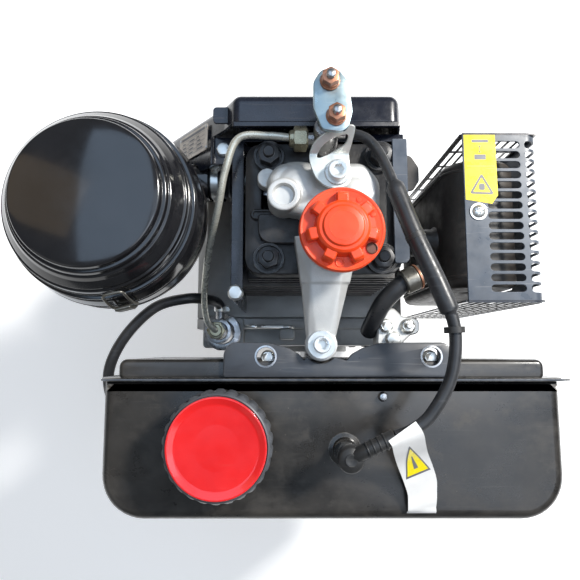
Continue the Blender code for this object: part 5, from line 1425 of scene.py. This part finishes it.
KEPT_LOOKS = {
    "crankcase": ("case_cast", 1.2), "crankcase_cover": ("case_cast", 1.0), "crankshaft": ("steel", 0.3),
    "cylinder_barrel": ("iron", 0.4), "cylinder_head": ("dark_casting", 0.8), "cooling_cowl": ("satin_black", 0.6),
    "injection_pump": ("steel", 0.6), "speed_lever": ("zinc", 0.4), "oil_dipstick": ("black_plastic", 0.4),
    "flywheel": ("iron", 0.5), "starter_cup": ("steel", 0.3), "starter_pulley": ("black_plastic", 0.4),
    "main_bearing_rear": ("steel", 0.3), "main_bearing_front": ("steel", 0.3), "camshaft": ("steel", 0.2),
    "piston": ("case_cast", 0.3), "piston_pin": ("steel", 0.2), "connecting_rod": ("steel", 0.4),
    "pushrod_inlet": ("steel", 0.0), "pushrod_exhaust": ("steel", 0.0), "rocker_inlet": ("steel", 0.3),
    "rocker_exhaust": ("steel", 0.3), "rocker_shaft": ("steel", 0.2), "valve_inlet": ("steel", 0.0),
    "valve_exhaust": ("steel", 0.0), "valve_spring_inlet": ("steel", 0.2), "valve_spring_exhaust": ("steel", 0.2),
    "air_filter_element": ("paper", 0.3),
}


# ---------------------------------------------------------------- light, floor and camera


def area_light(name, place, target, size, power, colour=(1, 1, 1)):
    data = bpy.data.lights.new(name, "AREA")
    data.shape = "RECTANGLE"
    data.size, data.size_y = size
    data.energy = power
    data.color = colour
    lamp = bpy.data.objects.new(name, data)
    lamp.location = place
    lamp.rotation_euler = (Vector(target) - Vector(place)).to_track_quat("-Z", "Y").to_euler()
    bpy.context.collection.objects.link(lamp)


def floor_look():
    """A pale, faintly glowing studio floor, so that it stays near white."""
    graph = Graph("pale_floor")
    tone = graph.mix(graph.noise(3.0), (0.9, 0.9, 0.9), (0.93, 0.93, 0.93))
    shader = graph.add("BsdfPrincipled", Base_Color=tone, Roughness=0.8, Emission_Color=(1.0, 1.0, 1.0, 1.0),
                       Emission_Strength=0.42)
    output = graph.add("OutputMaterial")
    graph.tree.links.new(shader.outputs[0], output.inputs[0])
    return graph.material


def studio():
    scene = bpy.context.scene
    scene.view_settings.view_transform = "Standard"
    scene.view_settings.look = "None"
    world = bpy.data.worlds.new("studio")
    scene.world = world
    world.use_nodes = True
    nodes, links = world.node_tree.nodes, world.node_tree.links
    back = nodes["Background"]
    back.inputs["Color"].default_value = (0.86, 0.93, 1.0, 1.0)
    seen = nodes.new("ShaderNodeLightPath")
    power = nodes.new("ShaderNodeMapRange")
    links.new(seen.outputs["Is Camera Ray"], power.inputs[0])
    power.inputs[3].default_value = 0.13
    power.inputs[4].default_value = 0.95
    links.new(power.outputs[0], back.inputs["Strength"])
    area_light("key", (1.25, 0.75, 1.75), (0.0, 0.0, 0.35), (0.3, 0.3), 68, (1.0, 0.97, 0.92))
    area_light("sky", (0.62, 0.1, 1.35), (-0.1, 0.0, 0.4), (0.75, 1.2), 3.6, (0.66, 0.8, 1.0))
    area_light("fill", (-1.2, -0.9, 1.1), (0.0, 0.0, 0.25), (1.0, 1.0), 1.0, (1.0, 0.98, 0.95))
    area_light("cleaner_sky", (-0.26, 0.3, 1.35), (-0.26, 0.3, 0.0), (0.6, 1.2), 3.4, (0.55, 0.74, 1.0))
    area_light("warm_side", (-0.95, 0.3, 1.25), (-0.2, 0.0, 0.4), (0.5, 0.9), 0.7, (0.95, 0.7, 0.42))
    area_light("tank_sky", (0.5, -0.38, 1.3), (0.3, -0.3, 0.2), (0.62, 0.7), 2.6, (0.8, 0.88, 1.0))

    floor = slab(box_outline(-3000, 3000, -3000, 3000), -12.0, -0.3)
    floor.name = "studio_floor"
    floor.data.materials.append(floor_look())


def camera():
    data = bpy.data.cameras.new("camera")
    data.sensor_width = 36
    data.lens = 32.3
    data.shift_x = 5 / 580
    eye = bpy.data.objects.new("camera", data)
    eye.location = (-0.032, -0.110, 0.795)
    eye.rotation_euler = (math.radians(6.58), 0, 0)
    bpy.context.collection.objects.link(eye)
    bpy.context.scene.camera = eye


# ---------------------------------------------------------------- assembly

air_cleaner()
cleaner_clip()
intake()
fan_housing()
starter()
muffler()
muffler_guard()
fuel_tank()
tank_bracket()
fuel_cap()
tag()
oil_cap()
rocker_cover()
head_nuts()
leak_point = injector_and_pipe()
lifting_bracket()
hoses(leak_point)
beside_the_head()
lower_engine()
for kept, (finish_name, edge_width) in KEPT_LOOKS.items():
    dress_node(kept, finish_name, edge_width)
camera()
studio()
